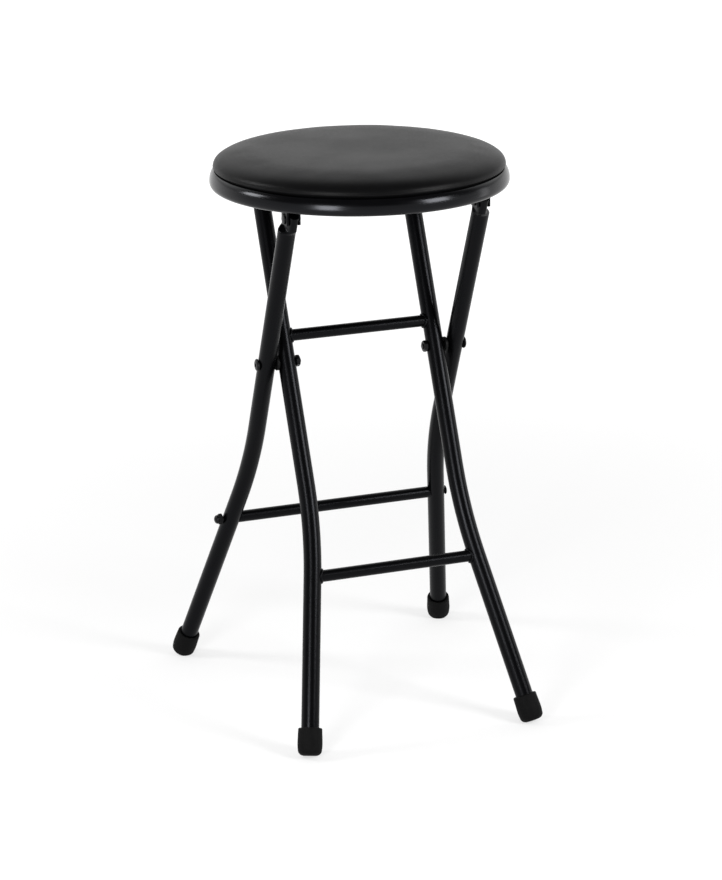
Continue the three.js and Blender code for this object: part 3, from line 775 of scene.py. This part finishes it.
def make_frames():
    rises = [SHOULDER + SHOULDER_LENGTH * i / 16 for i in range(17)]
    rises += [SHOULDER - 8, HINGE_REACH - 4, HINGE_REACH + TONGUE_OVERREACH - 1.5]
    extra = [-rise for rise in rises]
    outer_top = -HINGE_REACH - TONGUE_OVERREACH
    inner_top = -TOP_BAR_REACH - LEG_OVERRUN
    for side, word in SIDES:
        path = leg_path(OUTER_LEG, side, outer_top, extra)
        leg = tube(path, TUBE_R, TUBE_WALL, tongue(side))
        put_on_frame("bent_outer_leg_" + word, leg, "outer_frame", "outer_leg_" + word)
        path = leg_path(INNER_LEG, side, inner_top)
        leg = tube(path, TUBE_R, TUBE_WALL)
        put_on_frame("bent_inner_leg_" + word, leg, "inner_frame", "inner_leg_" + word)

    mesh = rung(OUTER_LEG, OUTER_RUNG_DROP, RUNG_R, RUNG_WALL, GAP)
    put_on_frame("bolted_outer_rung", mesh, "outer_frame", "outer_rung")
    inner_rungs = [
        ("inner_lower_rung", INNER_RUNG_DROP, RUNG_R, RUNG_WALL, RUNG_BEAD),
        ("inner_upper_rung", -UPPER_RUNG_RISE, RUNG_R, RUNG_WALL, RUNG_BEAD),
        ("inner_top_bar", -TOP_BAR_REACH, TUBE_R, TUBE_WALL, BAR_BEAD),
    ]
    beads = []
    for name, drop, radius, wall, bead in inner_rungs:
        mesh = rung(INNER_LEG, drop, radius, wall, -WELD_SINK)
        put_on_frame("welded_" + name, mesh, "inner_frame", name)
        beads.append(weld(INNER_LEG, drop, radius, bead))
    put_on_frame("inner_frame_welds", joined(beads, 60), "inner_frame")


def foot_profile():
    """A rubber cup in section, from the middle of its sole to the floor of its bore."""
    radius = FOOT_ACROSS / 2
    bore, top = TUBE_R + GAP, FOOT_LENGTH
    sole = arc((radius - FOOT_CORNER, FOOT_CORNER), FOOT_CORNER, -90, 0, 10)
    swell = [(0.32, 8.6), (0.5, 11.7), (0.42, 16.0), (0.18, 22.0)]
    wall = [(radius + out, height) for out, height in swell]
    mouth = arc((radius - FOOT_LIP, top - FOOT_LIP), FOOT_LIP, 0, 90, 5)
    inside = [(bore + 0.5, top), (bore, top - 0.5), (bore, FOOT_FLOOR), (0, FOOT_FLOOR)]
    return [(0, 0), *sole, *wall, *mouth, *inside]


def make_feet():
    drop = FRAME_TO_FLOOR - FOOT_LIFT * math.cos(SPLAY)
    groups = [
        ("front", INNER_FRAME, INNER_LEG, "inner_frame"),
        ("rear", OUTER_FRAME, OUTER_LEG, "outer_frame"),
    ]
    for word, matrix, leg, body in groups:
        out, turn = leg_at(leg, drop)
        shape = lathe(foot_profile(), HEAD_SIDES)
        places = []
        for side in (-1, 1):
            stand = Matrix.Translation((side * out, 0, -drop))
            places.append(matrix @ stand @ Matrix.Rotation(-side * turn, 4, "Y"))
        bm = editable(copies(shape, places, RUBBER))
        everything = bm.verts[:] + bm.edges[:] + bm.faces[:]
        ground = {"plane_co": (0, 0, 0), "plane_no": (0, 0, -1), "clear_outer": True}
        made = bmesh.ops.bisect_plane(bm, geom=everything, **ground)
        rim = [part for part in made["geom_cut"] if isinstance(part, bmesh.types.BMEdge)]
        bmesh.ops.contextual_create(bm, geom=rim)
        bmesh.ops.edgenet_fill(bm, edges=[edge for edge in bm.edges if edge.is_boundary])
        outward(bm)
        nodes = [f"foot_{word}_{side_word}" for _, side_word in SIDES]
        put_on(word + "_rubber_feet", to_mesh(bm, 40), body, "rubber", *nodes)


# Hardware


def hexagon(across, limit=math.inf):
    """How far a hexagon of the size over its flats reaches at an angle, up to the limit."""

    def reach(angle):
        bent = (angle + math.pi / 6) % (math.pi / 3) - math.pi / 6
        return min(across / 2 / math.cos(bent), limit)

    return reach


def dome(radius, height, low, steps=8, rim=0.35, flat=0.0, ease=0.2):
    """The profile of a low round head with a flat top, on a flat face at the height low."""
    points = [(radius - ease, low), (radius, low + ease)]
    for i in range(steps + 1):
        x, y = on_circle(1, i / steps * math.pi / 2)
        points.append((flat + (radius - flat) * x, low + height * rim + height * (1 - rim) * y))
    return points


def lathe(profile, sides=48):
    """A closed turned shape from (radius, height) or (reach(angle), height) pairs."""
    bm = bmesh.new()
    rings = []
    for reach, height in profile:
        ring = []
        for k in range(sides):
            angle = 2 * math.pi * k / sides
            radius = reach(angle) if callable(reach) else reach
            ring.append((*on_circle(radius, angle), height))
        rings.append(ring)
    skin(bm, rings, close=profile[0][0] > 0)
    bmesh.ops.remove_doubles(bm, verts=bm.verts, dist=0.0005)
    outward(bm)
    return to_mesh(bm)


def socket_head(radius, height, low, key, depth):
    """A round head with a hexagon socket in its top."""
    top = low + height
    flat = key / math.cos(math.pi / 6) / 2 + 0.5
    mouth, floor = hexagon(key), hexagon(key * 0.97)
    socket = [(mouth, top), (floor, top - 0.25), (floor, top - depth), (0, top - depth - 0.4)]
    return dome(radius, height, low, rim=0.3, flat=flat, ease=0.25) + socket


def hex_nut(across, low, high, bore):
    """A nut with the corners of both faces chamfered."""
    corner = across / 2 / math.cos(math.pi / 6)
    face = across / 2 * 0.97
    rise = (corner - face) * math.tan(math.radians(28))
    levels = []
    for share in (0, 1 / 3, 2 / 3, 1):
        levels.append((hexagon(across, face * (1 - share) + corner * share), rise * share))
    points = [(bore, low + CHAMFER), (bore + CHAMFER, low)]
    points += [(reach, low + up) for reach, up in levels]
    points += [(reach, high - up) for reach, up in reversed(levels)]
    return points + [(bore + CHAMFER, high), (bore, high - CHAMFER)]


def along_x(side):
    return Matrix.Rotation(side * math.pi / 2, 4, "Y")


def put_on_turned(name, profile, sides, matrix, body, slot, node):
    """Turns a profile on a lathe, puts the shape where the matrix says and makes it a piece."""
    put_on(name, moved(lathe(profile, sides), matrix), body, slot, node)


def make_pivots():
    bearing = OUTER_HALF + TUBE_R + GAP
    nut_top = INNER_HALF - TUBE_R - GAP
    nut_low = nut_top - PIVOT_NUT_THICK
    tip = nut_top - GAP - PIVOT_NUT_THICK - PIVOT_TIP
    shank = [(0, tip), (PIVOT_SHANK_R - 0.7, tip), (PIVOT_SHANK_R, tip + 0.7)]
    shank.append((PIVOT_SHANK_R, bearing))
    head = socket_head(PIVOT_HEAD / 2, PIVOT_HEAD_RISE, bearing, PIVOT_KEY, PIVOT_KEY_DEPTH)
    nut = hex_nut(PIVOT_NUT, nut_low, nut_top, PIVOT_SHANK_R + 0.15)
    low, high = INNER_HALF + TUBE_R + GAP, OUTER_HALF - TUBE_R - GAP
    edge, bore = SPACER / 2, PIVOT_SHANK_R + GAP
    ring = [(bore, low), (edge - CHAMFER, low), (edge, low + CHAMFER), (edge, high - CHAMFER)]
    ring += [(edge - CHAMFER, high), (bore, high)]
    pieces = [
        ("pivot_pin_", shank + head, HEAD_SIDES, "black_steel", "pivot_bolt_"),
        ("lock_nut_", nut, HEAD_SIDES, "black_steel", "pivot_nut_"),
        ("spacer_ring_", ring, 64, "nylon", "pivot_spacer_"),
    ]
    for side, word in SIDES:
        turn = OUTER_FRAME @ along_x(side)
        for name, profile, sides, slot, node in pieces:
            put_on_turned(name + word, profile, sides, turn, "outer_frame", slot, node + word)


def rung_bearing(across):
    """How far out a flat face of the size rests on the leg, at the height of the rung."""
    out, turn = leg_at(OUTER_LEG, OUTER_RUNG_DROP)
    return out + TUBE_R / math.cos(turn) + across / 2 * math.tan(turn) + GAP


def make_rung_bolt():
    matrix = OUTER_FRAME @ Matrix.Translation((0, 0, -OUTER_RUNG_DROP))
    bearing = rung_bearing(RUNG_HEAD)
    low = rung_bearing(CAP_NUT)
    top = low + CAP_NUT_HEX
    shank = [(0, -top), (RUNG_SHANK_R, -top), (RUNG_SHANK_R, bearing)]
    head = socket_head(RUNG_HEAD / 2, RUNG_HEAD_RISE, bearing, RUNG_KEY, RUNG_KEY_DEPTH)
    bolt = (shank + head, 48, matrix @ along_x(1))
    put_on_turned("long_rung_bolt", *bolt, "outer_frame", "black_steel", "rung_bolt")

    nut = hex_nut(CAP_NUT, low, top, RUNG_SHANK_R + GAP)
    across = CAP_NUT / 2 * CAP_DOME_SHARE
    crown = [(0, low + 4.45), (2.6, top), (across - 0.5, low + 4.2), (across - 0.15, low + 4.9)]
    for angle in np.linspace(0, math.pi / 2, 9):
        x, y = on_circle(1, angle)
        crown.append((across * x, low + 5.4 + CAP_NUT_CROWN * y))
    cap = joined([lathe(nut, HEAD_SIDES), lathe(crown, HEAD_SIDES)])
    cap = moved(cap, matrix @ along_x(-1))
    put_on("rung_acorn_nut", cap, "outer_frame", "black_steel", "rung_cap_nut")


def make_rivets():
    grip = TONGUE_HALF + 2 * GAP + EAR_THICK
    head = dome(RIVET_HEAD / 2, RIVET_DOME, grip)
    other = [(radius, -height) for radius, height in reversed(head)]
    profile = other + [(RIVET_SHANK_R, -grip), (RIVET_SHANK_R, grip)] + head
    for side, word in SIDES:
        centre = (side * BRACKET_CENTRE, -HINGE_FRONT, HINGE_HEIGHT)
        rivet = (profile, 48, Matrix.Translation(centre) @ along_x(1))
        put_on_turned("hinge_rivet_" + word, *rivet, "seat", "black_steel", "seat_rivet_" + word)


def make_plugs():
    top = TOP_BAR_REACH + LEG_OVERRUN + GAP
    bottom = top - PLUG_STEM
    stem = TUBE_R - TUBE_WALL - GAP
    profile = [(0, bottom), (stem - 1, bottom), (stem, bottom + 1), (stem, top)]
    profile += dome(TUBE_R, PLUG_HEAD, top)
    for side, word in SIDES:
        plug = (profile, 48, INNER_FRAME @ Matrix.Translation((side * INNER_HALF, 0, 0)))
        put_on_turned("end_plug_" + word, *plug, "inner_frame", "nylon", "leg_plug_" + word)


def recessed_screw():
    """A pan head with a cross recess, on a plain shank."""
    profile = [(0, -SCREW_LENGTH), (SCREW_TIP_R, -SCREW_LENGTH)]
    profile += [(SCREW_SHANK_R, 0.8 - SCREW_LENGTH), (SCREW_SHANK_R, 0)]
    profile += dome(SCREW_HEAD_R, SCREW_HEAD_RISE, 0.0, 6, 0.3)
    bm = bmesh.new()
    for turn in (0, math.pi / 2):
        spin = Matrix.Rotation(turn, 4, "Z")
        ring = []
        for x, y, z in ((0.9, 0.24, 0.9), (2.3, 0.42, 3.2)):
            corners = [(-x, -y), (x, -y), (x, y), (-x, y)]
            ring.append([spin @ Vector((a, b, z)) for a, b in corners])
        skin(bm, ring, capped=True)
    outward(bm)
    driver = holding(to_mesh(bm), "driver")
    options = {"operation": "DIFFERENCE", "solver": "EXACT", "use_self": True, "object": driver}
    bm = editable(changed(lathe(profile, 40), "BOOLEAN", **options))
    bpy.data.objects.remove(driver)
    bmesh.ops.remove_doubles(bm, verts=bm.verts, dist=0.001)
    bmesh.ops.dissolve_degenerate(bm, dist=0.001, edges=bm.edges)
    slivers = [face for face in bm.faces if face.calc_area() < 1e-7]
    bmesh.ops.delete(bm, geom=slivers, context="FACES")
    return to_mesh(bm, 30)


def make_screws():
    places, names = [], []
    strap_under = PAN_HEIGHT - GAP - BRACKET_THICK
    saddle_under = PAN_HEIGHT - GAP - SADDLE_FLANGE
    saddle_rear = TOP_BAR_REAR + SADDLE_SCREW_REACH
    for side, word in SIDES:
        for i, end in enumerate(("front", "rear")):
            y = BRACKET_SCREW_SETBACK + BRACKET_SCREW_SPACING * i - HINGE_FRONT
            places.append((side * BRACKET_CENTRE, y, strap_under))
            names.append(f"bracket_screw_{end}_{word}")
        places.append((side * SADDLE_OFFSET, saddle_rear, saddle_under))
        names.append("saddle_screw_" + word)
    ring = BRACKET_CENTRE + TONGUE_HALF + GAP + EAR_THICK + BOARD_SCREW_MARGIN
    for quarter, word in enumerate(("right", "rear", "left", "front")):
        places.append((*on_circle(ring, quarter * math.pi / 2), PAN_HEIGHT))
        names.append("board_screw_" + word)
    spins = np.random.default_rng(5).uniform(0, math.pi / 2, len(places))
    matrices = []
    for (x, y, under), spin in zip(places, spins):
        down = Matrix.Rotation(math.pi, 4, "X") @ Matrix.Rotation(spin, 4, "Z")
        matrices.append(Matrix.Translation((x, y, under - GAP)) @ down)
    mesh = copies(recessed_screw(), matrices, BLACK_ZINC)
    put_on("under_seat_screws", mesh, "seat", "black_steel", *names)


def from_cad(node, edge):
    """A copy of a CAD solid in millimetres, merged and with its edges rounded."""
    bm = editable(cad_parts[node].data)
    bmesh.ops.scale(bm, vec=(1 / MM,) * 3, verts=bm.verts)
    bmesh.ops.remove_doubles(bm, verts=bm.verts, dist=0.01)
    bmesh.ops.dissolve_limit(bm, angle_limit=math.radians(1), verts=bm.verts, edges=bm.edges)
    corners = [e for e in bm.edges if e.calc_face_angle(0.0) > math.radians(30)]
    options = {"segments": 2, "profile": 0.6, "affect": "EDGES", "clamp_overlap": True}
    bmesh.ops.bevel(bm, geom=corners, offset=edge, **options)
    return to_mesh(bm, 32)


def make_under_seat():
    for _, word in SIDES:
        node = "seat_bracket_" + word
        put_on("pressed_" + node, from_cad(node, 0.5), "seat", "frame_paint", node)
        node = "rear_saddle_" + word
        put_on("moulded_" + node, from_cad(node, 0.6), "seat", "nylon", node)


# Seat


def rim_curve(thin, start, low_steps, high_steps):
    """The rolled rim in section: a half round below its widest part, a taller curve above."""
    low = arc((ROLL_CENTRE, ROLL_HEIGHT), ROLL_RADIUS - thin, start, 360, low_steps)
    high = []
    for i in range(1, high_steps + 1):
        angle = i / high_steps * LIP_LEAN
        across = ROLL_CENTRE + ROLL_RADIUS * math.cos(angle) - thin
        high.append((across, ROLL_HEIGHT + ROLL_RISE * math.sin(angle)))
    return low + high


def make_pan():
    start = 180 - math.degrees(math.asin(ROLL_DROP / ROLL_RADIUS))
    outside = rim_curve(0, start, 30, 18)
    inside = rim_curve(PAN_THICK, 180, 20, 12)
    low, top = PAN_HEIGHT, PAN_HEIGHT + PAN_THICK
    turn = ROLL_CENTRE - ROLL_RADIUS
    inner = ROLL_CENTRE - (ROLL_RADIUS - PAN_THICK)
    over = ((0.25, 0.2), (0.6, 0.3), (0.95, 0.2))
    lip = [(LIP_RADIUS - back, LIP_HEIGHT + up) for back, up in over]
    profile = [(0, low), (60, low), (turn - 2.4, low), (turn - 0.9, low - 0.25)]
    profile += outside[1:] + lip + inside[::-1]
    profile += [(inner - 0.2, top - 0.2), (inner - 0.9, top), (60, top), (0, top)]
    put_on("rolled_seat_pan", lathe(profile, ROUND), "seat", "rim_paint", "seat_pan")


def top_rise(share):
    """How high the cover is above its widest height, at a share of its radius."""
    return EDGE_RISE * math.sqrt(1 - share ** EDGE_POWER) + START_CROWN * (1 - share ** 2)


def cushion_rings():
    """Radius and height of each ring, from the flat top out, down the side and under."""
    rings = []
    for share in np.linspace(CORE_SHARE, EDGE_SHARE, 12):
        rings.append((START_WIDEST * share, COVER_WIDEST_HEIGHT + top_rise(share)))
    first = math.asin(EDGE_SHARE ** (EDGE_POWER / 2))
    for angle in np.linspace(first, math.pi / 2, 13)[1:]:
        share = math.sin(angle) ** (2 / EDGE_POWER)
        rise = EDGE_RISE * math.cos(angle) + START_CROWN * (1 - share ** 2)
        rings.append((START_WIDEST * share, COVER_WIDEST_HEIGHT + rise))
    sides = [(0.97, 0.85), (0.83, 0.67), (0.55, 0.45), (0.25, 0.25), (-0.1, 0.1), (-0.5, -0.06)]
    for out, up in sides:
        rings.append((COVER_RADIUS + COVER_SWELL * out, LIP_HEIGHT + COVER_SWELL_RISE * up))
    rings.append((COVER_RADIUS - 1.3, LIP_HEIGHT - 3))
    low, folded = COVER_BASE, COVER_BASE + COVER_THICK
    under = [(0.5, low + 2.5), (0.4, low + 0.5), (0.8, low), (8, low)]
    rings += [(COVER_RADIUS - inside, height) for inside, height in under]
    cavity = COVER_RADIUS - COVER_THICK
    ceiling = BOARD_TOP + GAP
    rings += [(HEM_EDGE, low), (HEM_EDGE, folded), (cavity, folded), (cavity, low + 6)]
    return rings + [(radius, ceiling) for radius in (cavity, cavity - 6, 100, 50, 0)]


def cushion_start():
    """The cushion before it is blown up: a square net in the middle of rings of faces."""
    rings = cushion_rings()
    reach = rings[0][0]
    bm = bmesh.new()
    half = CORE_CELLS // 2
    net, border = {}, {}
    for i in range(-half, half + 1):
        for j in range(-half, half + 1):
            x, y = i / half, j / half
            if i == j == 0:
                radius, angle = 0.0, 0.0
            elif abs(x) >= abs(y):
                radius, angle = x, math.pi / 4 * y / x
            else:
                radius, angle = y, math.pi / 2 - math.pi / 4 * x / y
            a, b = on_circle(radius, angle)
            height = COVER_WIDEST_HEIGHT + top_rise(math.hypot(a, b) * reach / START_WIDEST)
            vert = bm.verts.new((a * reach, b * reach, height))
            net[i, j] = vert
            if max(abs(i), abs(j)) == half:
                border[round(math.atan2(b, a) / (2 * math.pi) * ROUND) % ROUND] = vert
    for i in range(-half, half):
        for j in range(-half, half):
            bm.faces.new((net[i, j], net[i + 1, j], net[i + 1, j + 1], net[i, j + 1]))
    row = [border[k] for k in range(ROUND)]
    for radius, height in rings[1:]:
        after = []
        for k in range(ROUND):
            point = on_circle(radius, 2 * math.pi * k / ROUND)
            after.append(bm.verts.new((*point, height)))
        for k in range(ROUND):
            m = (k + 1) % ROUND
            bm.faces.new((row[k], after[k], after[m], row[m]))
        row = after
    bmesh.ops.remove_doubles(bm, verts=bm.verts, dist=0.0005)
    outward(bm)
    return to_mesh(bm, 60)


def blow_up(mesh):
    """Lets the cover swell under pressure as cloth, limits its swelling, then irons it."""
    piece = holding(mesh.copy(), "cushion")
    start = np.array([v.co[:] for v in mesh.vertices])
    held = piece.vertex_groups.new(name="held")
    pinned = np.nonzero(start[:, 2] < (LIP_HEIGHT + 1.0) * MM)[0]
    inside = np.nonzero(np.abs(start[:, 2] - (BOARD_TOP + GAP) * MM) < 0.2 * MM)[0]
    held.add([int(i) for i in (*pinned, *inside)], 1.0, "REPLACE")
    cloth = piece.modifiers.new("Cloth", "CLOTH")
    settings = cloth.settings
    settings.quality = 6
    settings.mass = 0.4
    settings.tension_stiffness = 60
    settings.compression_stiffness = 30
    settings.shear_stiffness = 20
    settings.bending_stiffness = 4
    settings.use_pressure = True
    settings.uniform_pressure_force = 4.0
    settings.effector_weights.gravity = 0
    settings.vertex_group_mass = "held"
    cloth.point_cache.frame_start = 1
    cloth.point_cache.frame_end = CLOTH_FRAMES
    scene = bpy.context.scene
    for step in range(1, CLOTH_FRAMES + 1):
        scene.frame_set(step)
    swollen = worked_out(piece)
    scene.frame_set(1)
    end = np.array([v.co[:] for v in swollen.vertices])
    bpy.data.meshes.remove(swollen)
    normals = np.array([v.normal[:] for v in mesh.vertices])
    swell = np.clip(np.sum((end - start) * normals, axis=1), 0, None)
    limit = COVER_SLACK * MM
    swell = limit * np.tanh(swell / limit)
    joins = np.array([edge.vertices[:] for edge in mesh.edges])
    count = np.bincount(joins.ravel(), minlength=len(start))
    still = start[:, 2] < (LIP_HEIGHT + 0.5) * MM
    for _ in range(IRON_PASSES):
        total = np.bincount(joins[:, 0], swell[joins[:, 1]], len(start))
        total += np.bincount(joins[:, 1], swell[joins[:, 0]], len(start))
        swell = np.where(still, 0, 0.5 * swell + 0.5 * total / np.maximum(count, 1))
    mesh.vertices.foreach_set("co", (start + normals * swell[:, None]).ravel())
    mesh.update()


def pull_tight(mesh):
    """Slight unevenness of a hand-pulled cover, strongest at the rounded edge."""
    seeds = np.random.default_rng(11).uniform(0, 2 * math.pi, 12)
    for vert in mesh.vertices:
        x, y, z = vert.co / MM
        if z < LIP_HEIGHT + 1.5:
            continue
        radius = math.hypot(x, y)
        angle = math.atan2(y, x)
        edge = min(max((radius / COVER_WIDEST - 0.8) / 0.15, 0), 1)
        lift = sum(math.sin((5 + 3 * n) * angle + seeds[n]) / (3 + n) for n in range(6))
        slow = math.sin(x / 31 + seeds[6]) * math.sin(y / 37 + seeds[7])
        slow += 0.5 * math.sin((x + y) / 19 + seeds[8])
        vert.co.z += (0.07 * edge * lift + 0.07 * slow * (1 - edge * 0.5)) * MM
        grow = 1 + 0.12 * edge * lift / COVER_WIDEST
        vert.co.x *= grow
        vert.co.y *= grow
    mesh.update()


def make_cushion():
    mesh = cushion_start()
    mesh.transform(Matrix.Scale(MM, 4))
    blow_up(mesh)
    pull_tight(mesh)
    mesh = changed(mesh, "SUBSURF", levels=1, render_levels=1)
    for polygon in mesh.polygons:
        polygon.use_smooth = True
    mesh.transform(Matrix.Scale(1 / MM, 4))
    piece = put_on("vinyl_cushion", mesh, "seat", "vinyl", "seat_cover", "seat_foam")


# Camera, stage and light


def add_camera():
    """The photo's camera: its place in metres, its turns in radians, its lens in pixels."""
    yaw, pitch, roll = 0.36194, 0.30174, -0.0113
    focal, photo_height, sensor = 3096.5, 880, 36
    flat = math.cos(pitch)
    ahead = Vector((math.sin(yaw) * flat, math.cos(yaw) * flat, -math.sin(pitch)))
    right = Vector((math.cos(yaw), -math.sin(yaw), 0))
    up = right.cross(ahead)
    across = math.cos(roll) * right + math.sin(roll) * up
    above = math.cos(roll) * up - math.sin(roll) * right
    camera = holding(bpy.data.cameras.new("camera"), "camera")
    camera.data.lens = focal / photo_height * sensor
    camera.data.sensor_width = sensor
    camera.data.clip_end = 100
    turn = Matrix((across, above, -ahead)).transposed().to_4x4()
    camera.matrix_world = Matrix.Translation((-1.1370, -2.9987, 1.2824)) @ turn
    bpy.context.scene.camera = camera


def seen_directly(tree):
    """One for camera rays and for the rays that a mirror or glass sends on."""
    path = place(tree, "ShaderNodeLightPath").outputs
    either = maths(tree, "MAXIMUM", path["Is Glossy Ray"], path["Is Transmission Ray"])
    return maths(tree, "MAXIMUM", path["Is Camera Ray"], either)


def add_world():
    """A lit backdrop behind the stool, a pale band along the horizon and a dim room in front."""
    world = bpy.data.worlds.new("studio")
    world.use_nodes = True
    bpy.context.scene.world = world
    tree = world.node_tree
    way = place(tree, "ShaderNodeTexCoord").outputs["Generated"]
    height = height_of(tree, way)
    azimuth = math.radians(159)
    behind = (math.sin(azimuth), -math.cos(azimuth), 0)
    turned = place(tree, "ShaderNodeVectorMath", {0: way, 1: behind}, operation="DOT_PRODUCT")
    rear = remap(tree, turned.outputs["Value"], 0.1, 0.6)
    rise = remap(tree, height, 0.15, 0.45, 0.25, 1.15)
    fall = remap(tree, height, 0.7, 0.86, 0.0, 1.0)
    backdrop = maths(tree, "MULTIPLY", rear, maths(tree, "SUBTRACT", rise, fall))
    horizon = remap(tree, height, 0.12, 0.3, 0.8, 0.0)
    room = maths(tree, "ADD", maths(tree, "ADD", horizon, backdrop), 0.2)
    feed(tree, tree.nodes["Background"], {"Strength": room, "Color": (1, 1, 1, 1)})


def add_floor():
    """A floor that is pale from above and can't be seen from below."""
    size = 6.0
    mesh = bpy.data.meshes.new("floor")
    corners = [(-size, -size, 0), (size, -size, 0), (size, size, 0), (-size, size, 0)]
    mesh.from_pydata(corners, [], [(0, 1, 2, 3)])
    floor = holding(mesh, "studio_floor")
    finish, tree = new_finish("pale floor")[:2]
    tree.nodes.clear()
    seen = seen_directly(tree)
    reach = place(tree, "ShaderNodeVectorMath", {0: object_coords(tree)}, operation="LENGTH")
    bright = remap(tree, reach.outputs["Value"], 0.3, 2.5, 0.6, 1.0)
    glow = maths(tree, "MULTIPLY", seen, bright)
    diffuse = output(tree, "ShaderNodeBsdfDiffuse", {"Color": (0.4, 0.4, 0.4, 1)})
    light = output(tree, "ShaderNodeEmission", {"Strength": glow})
    top = output(tree, "ShaderNodeAddShader", {0: diffuse, 1: light})
    clear = output(tree, "ShaderNodeBsdfTransparent")
    back = place(tree, "ShaderNodeNewGeometry").outputs["Backfacing"]
    mix = output(tree, "ShaderNodeMixShader", {0: back, 1: top, 2: clear})
    place(tree, "ShaderNodeOutputMaterial", {"Surface": mix})
    mesh.materials.append(finish)


def add_lamp(name, azimuth, elevation, wide, high, radiance):
    """A soft box. An azimuth of 0 is in front of the stool, 90 is on its right."""
    lamp = bpy.data.lights.new(name, "AREA")
    lamp.shape = "RECTANGLE"
    lamp.size, lamp.size_y = wide, high
    lamp.energy = radiance * math.pi * wide * high
    az, el = math.radians(azimuth), math.radians(elevation)
    way = Vector((math.sin(az) * math.cos(el), -math.cos(az) * math.cos(el), math.sin(el)))
    turn = way.to_track_quat("Z", "Y").to_matrix().to_4x4()
    stand = Vector((0, 0, LAMP_AIM)) + way * LAMP_AWAY
    holder = holding(lamp, name)
    holder.matrix_world = Matrix.Translation(stand) @ turn
    holder.visible_camera = False


def add_light():
    add_lamp("left strip", -44, 9, 0.5, 0.6, 19)
    add_lamp("right strip", 38, 22, 0.55, 0.6, 19)
    add_lamp("far right strip", 84, 6, 0.3, 0.9, 2)
    add_lamp("rear left box", -111, 28, 0.45, 0.5, 17)


add_camera()
add_world()
add_floor()
add_light()
make_frames()
make_feet()
make_pivots()
make_rung_bolt()
make_rivets()
make_plugs()
make_screws()
make_under_seat()
make_pan()
make_cushion()

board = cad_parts["seat_board"].data
board.materials.clear()
board.materials.append(PLYWOOD)
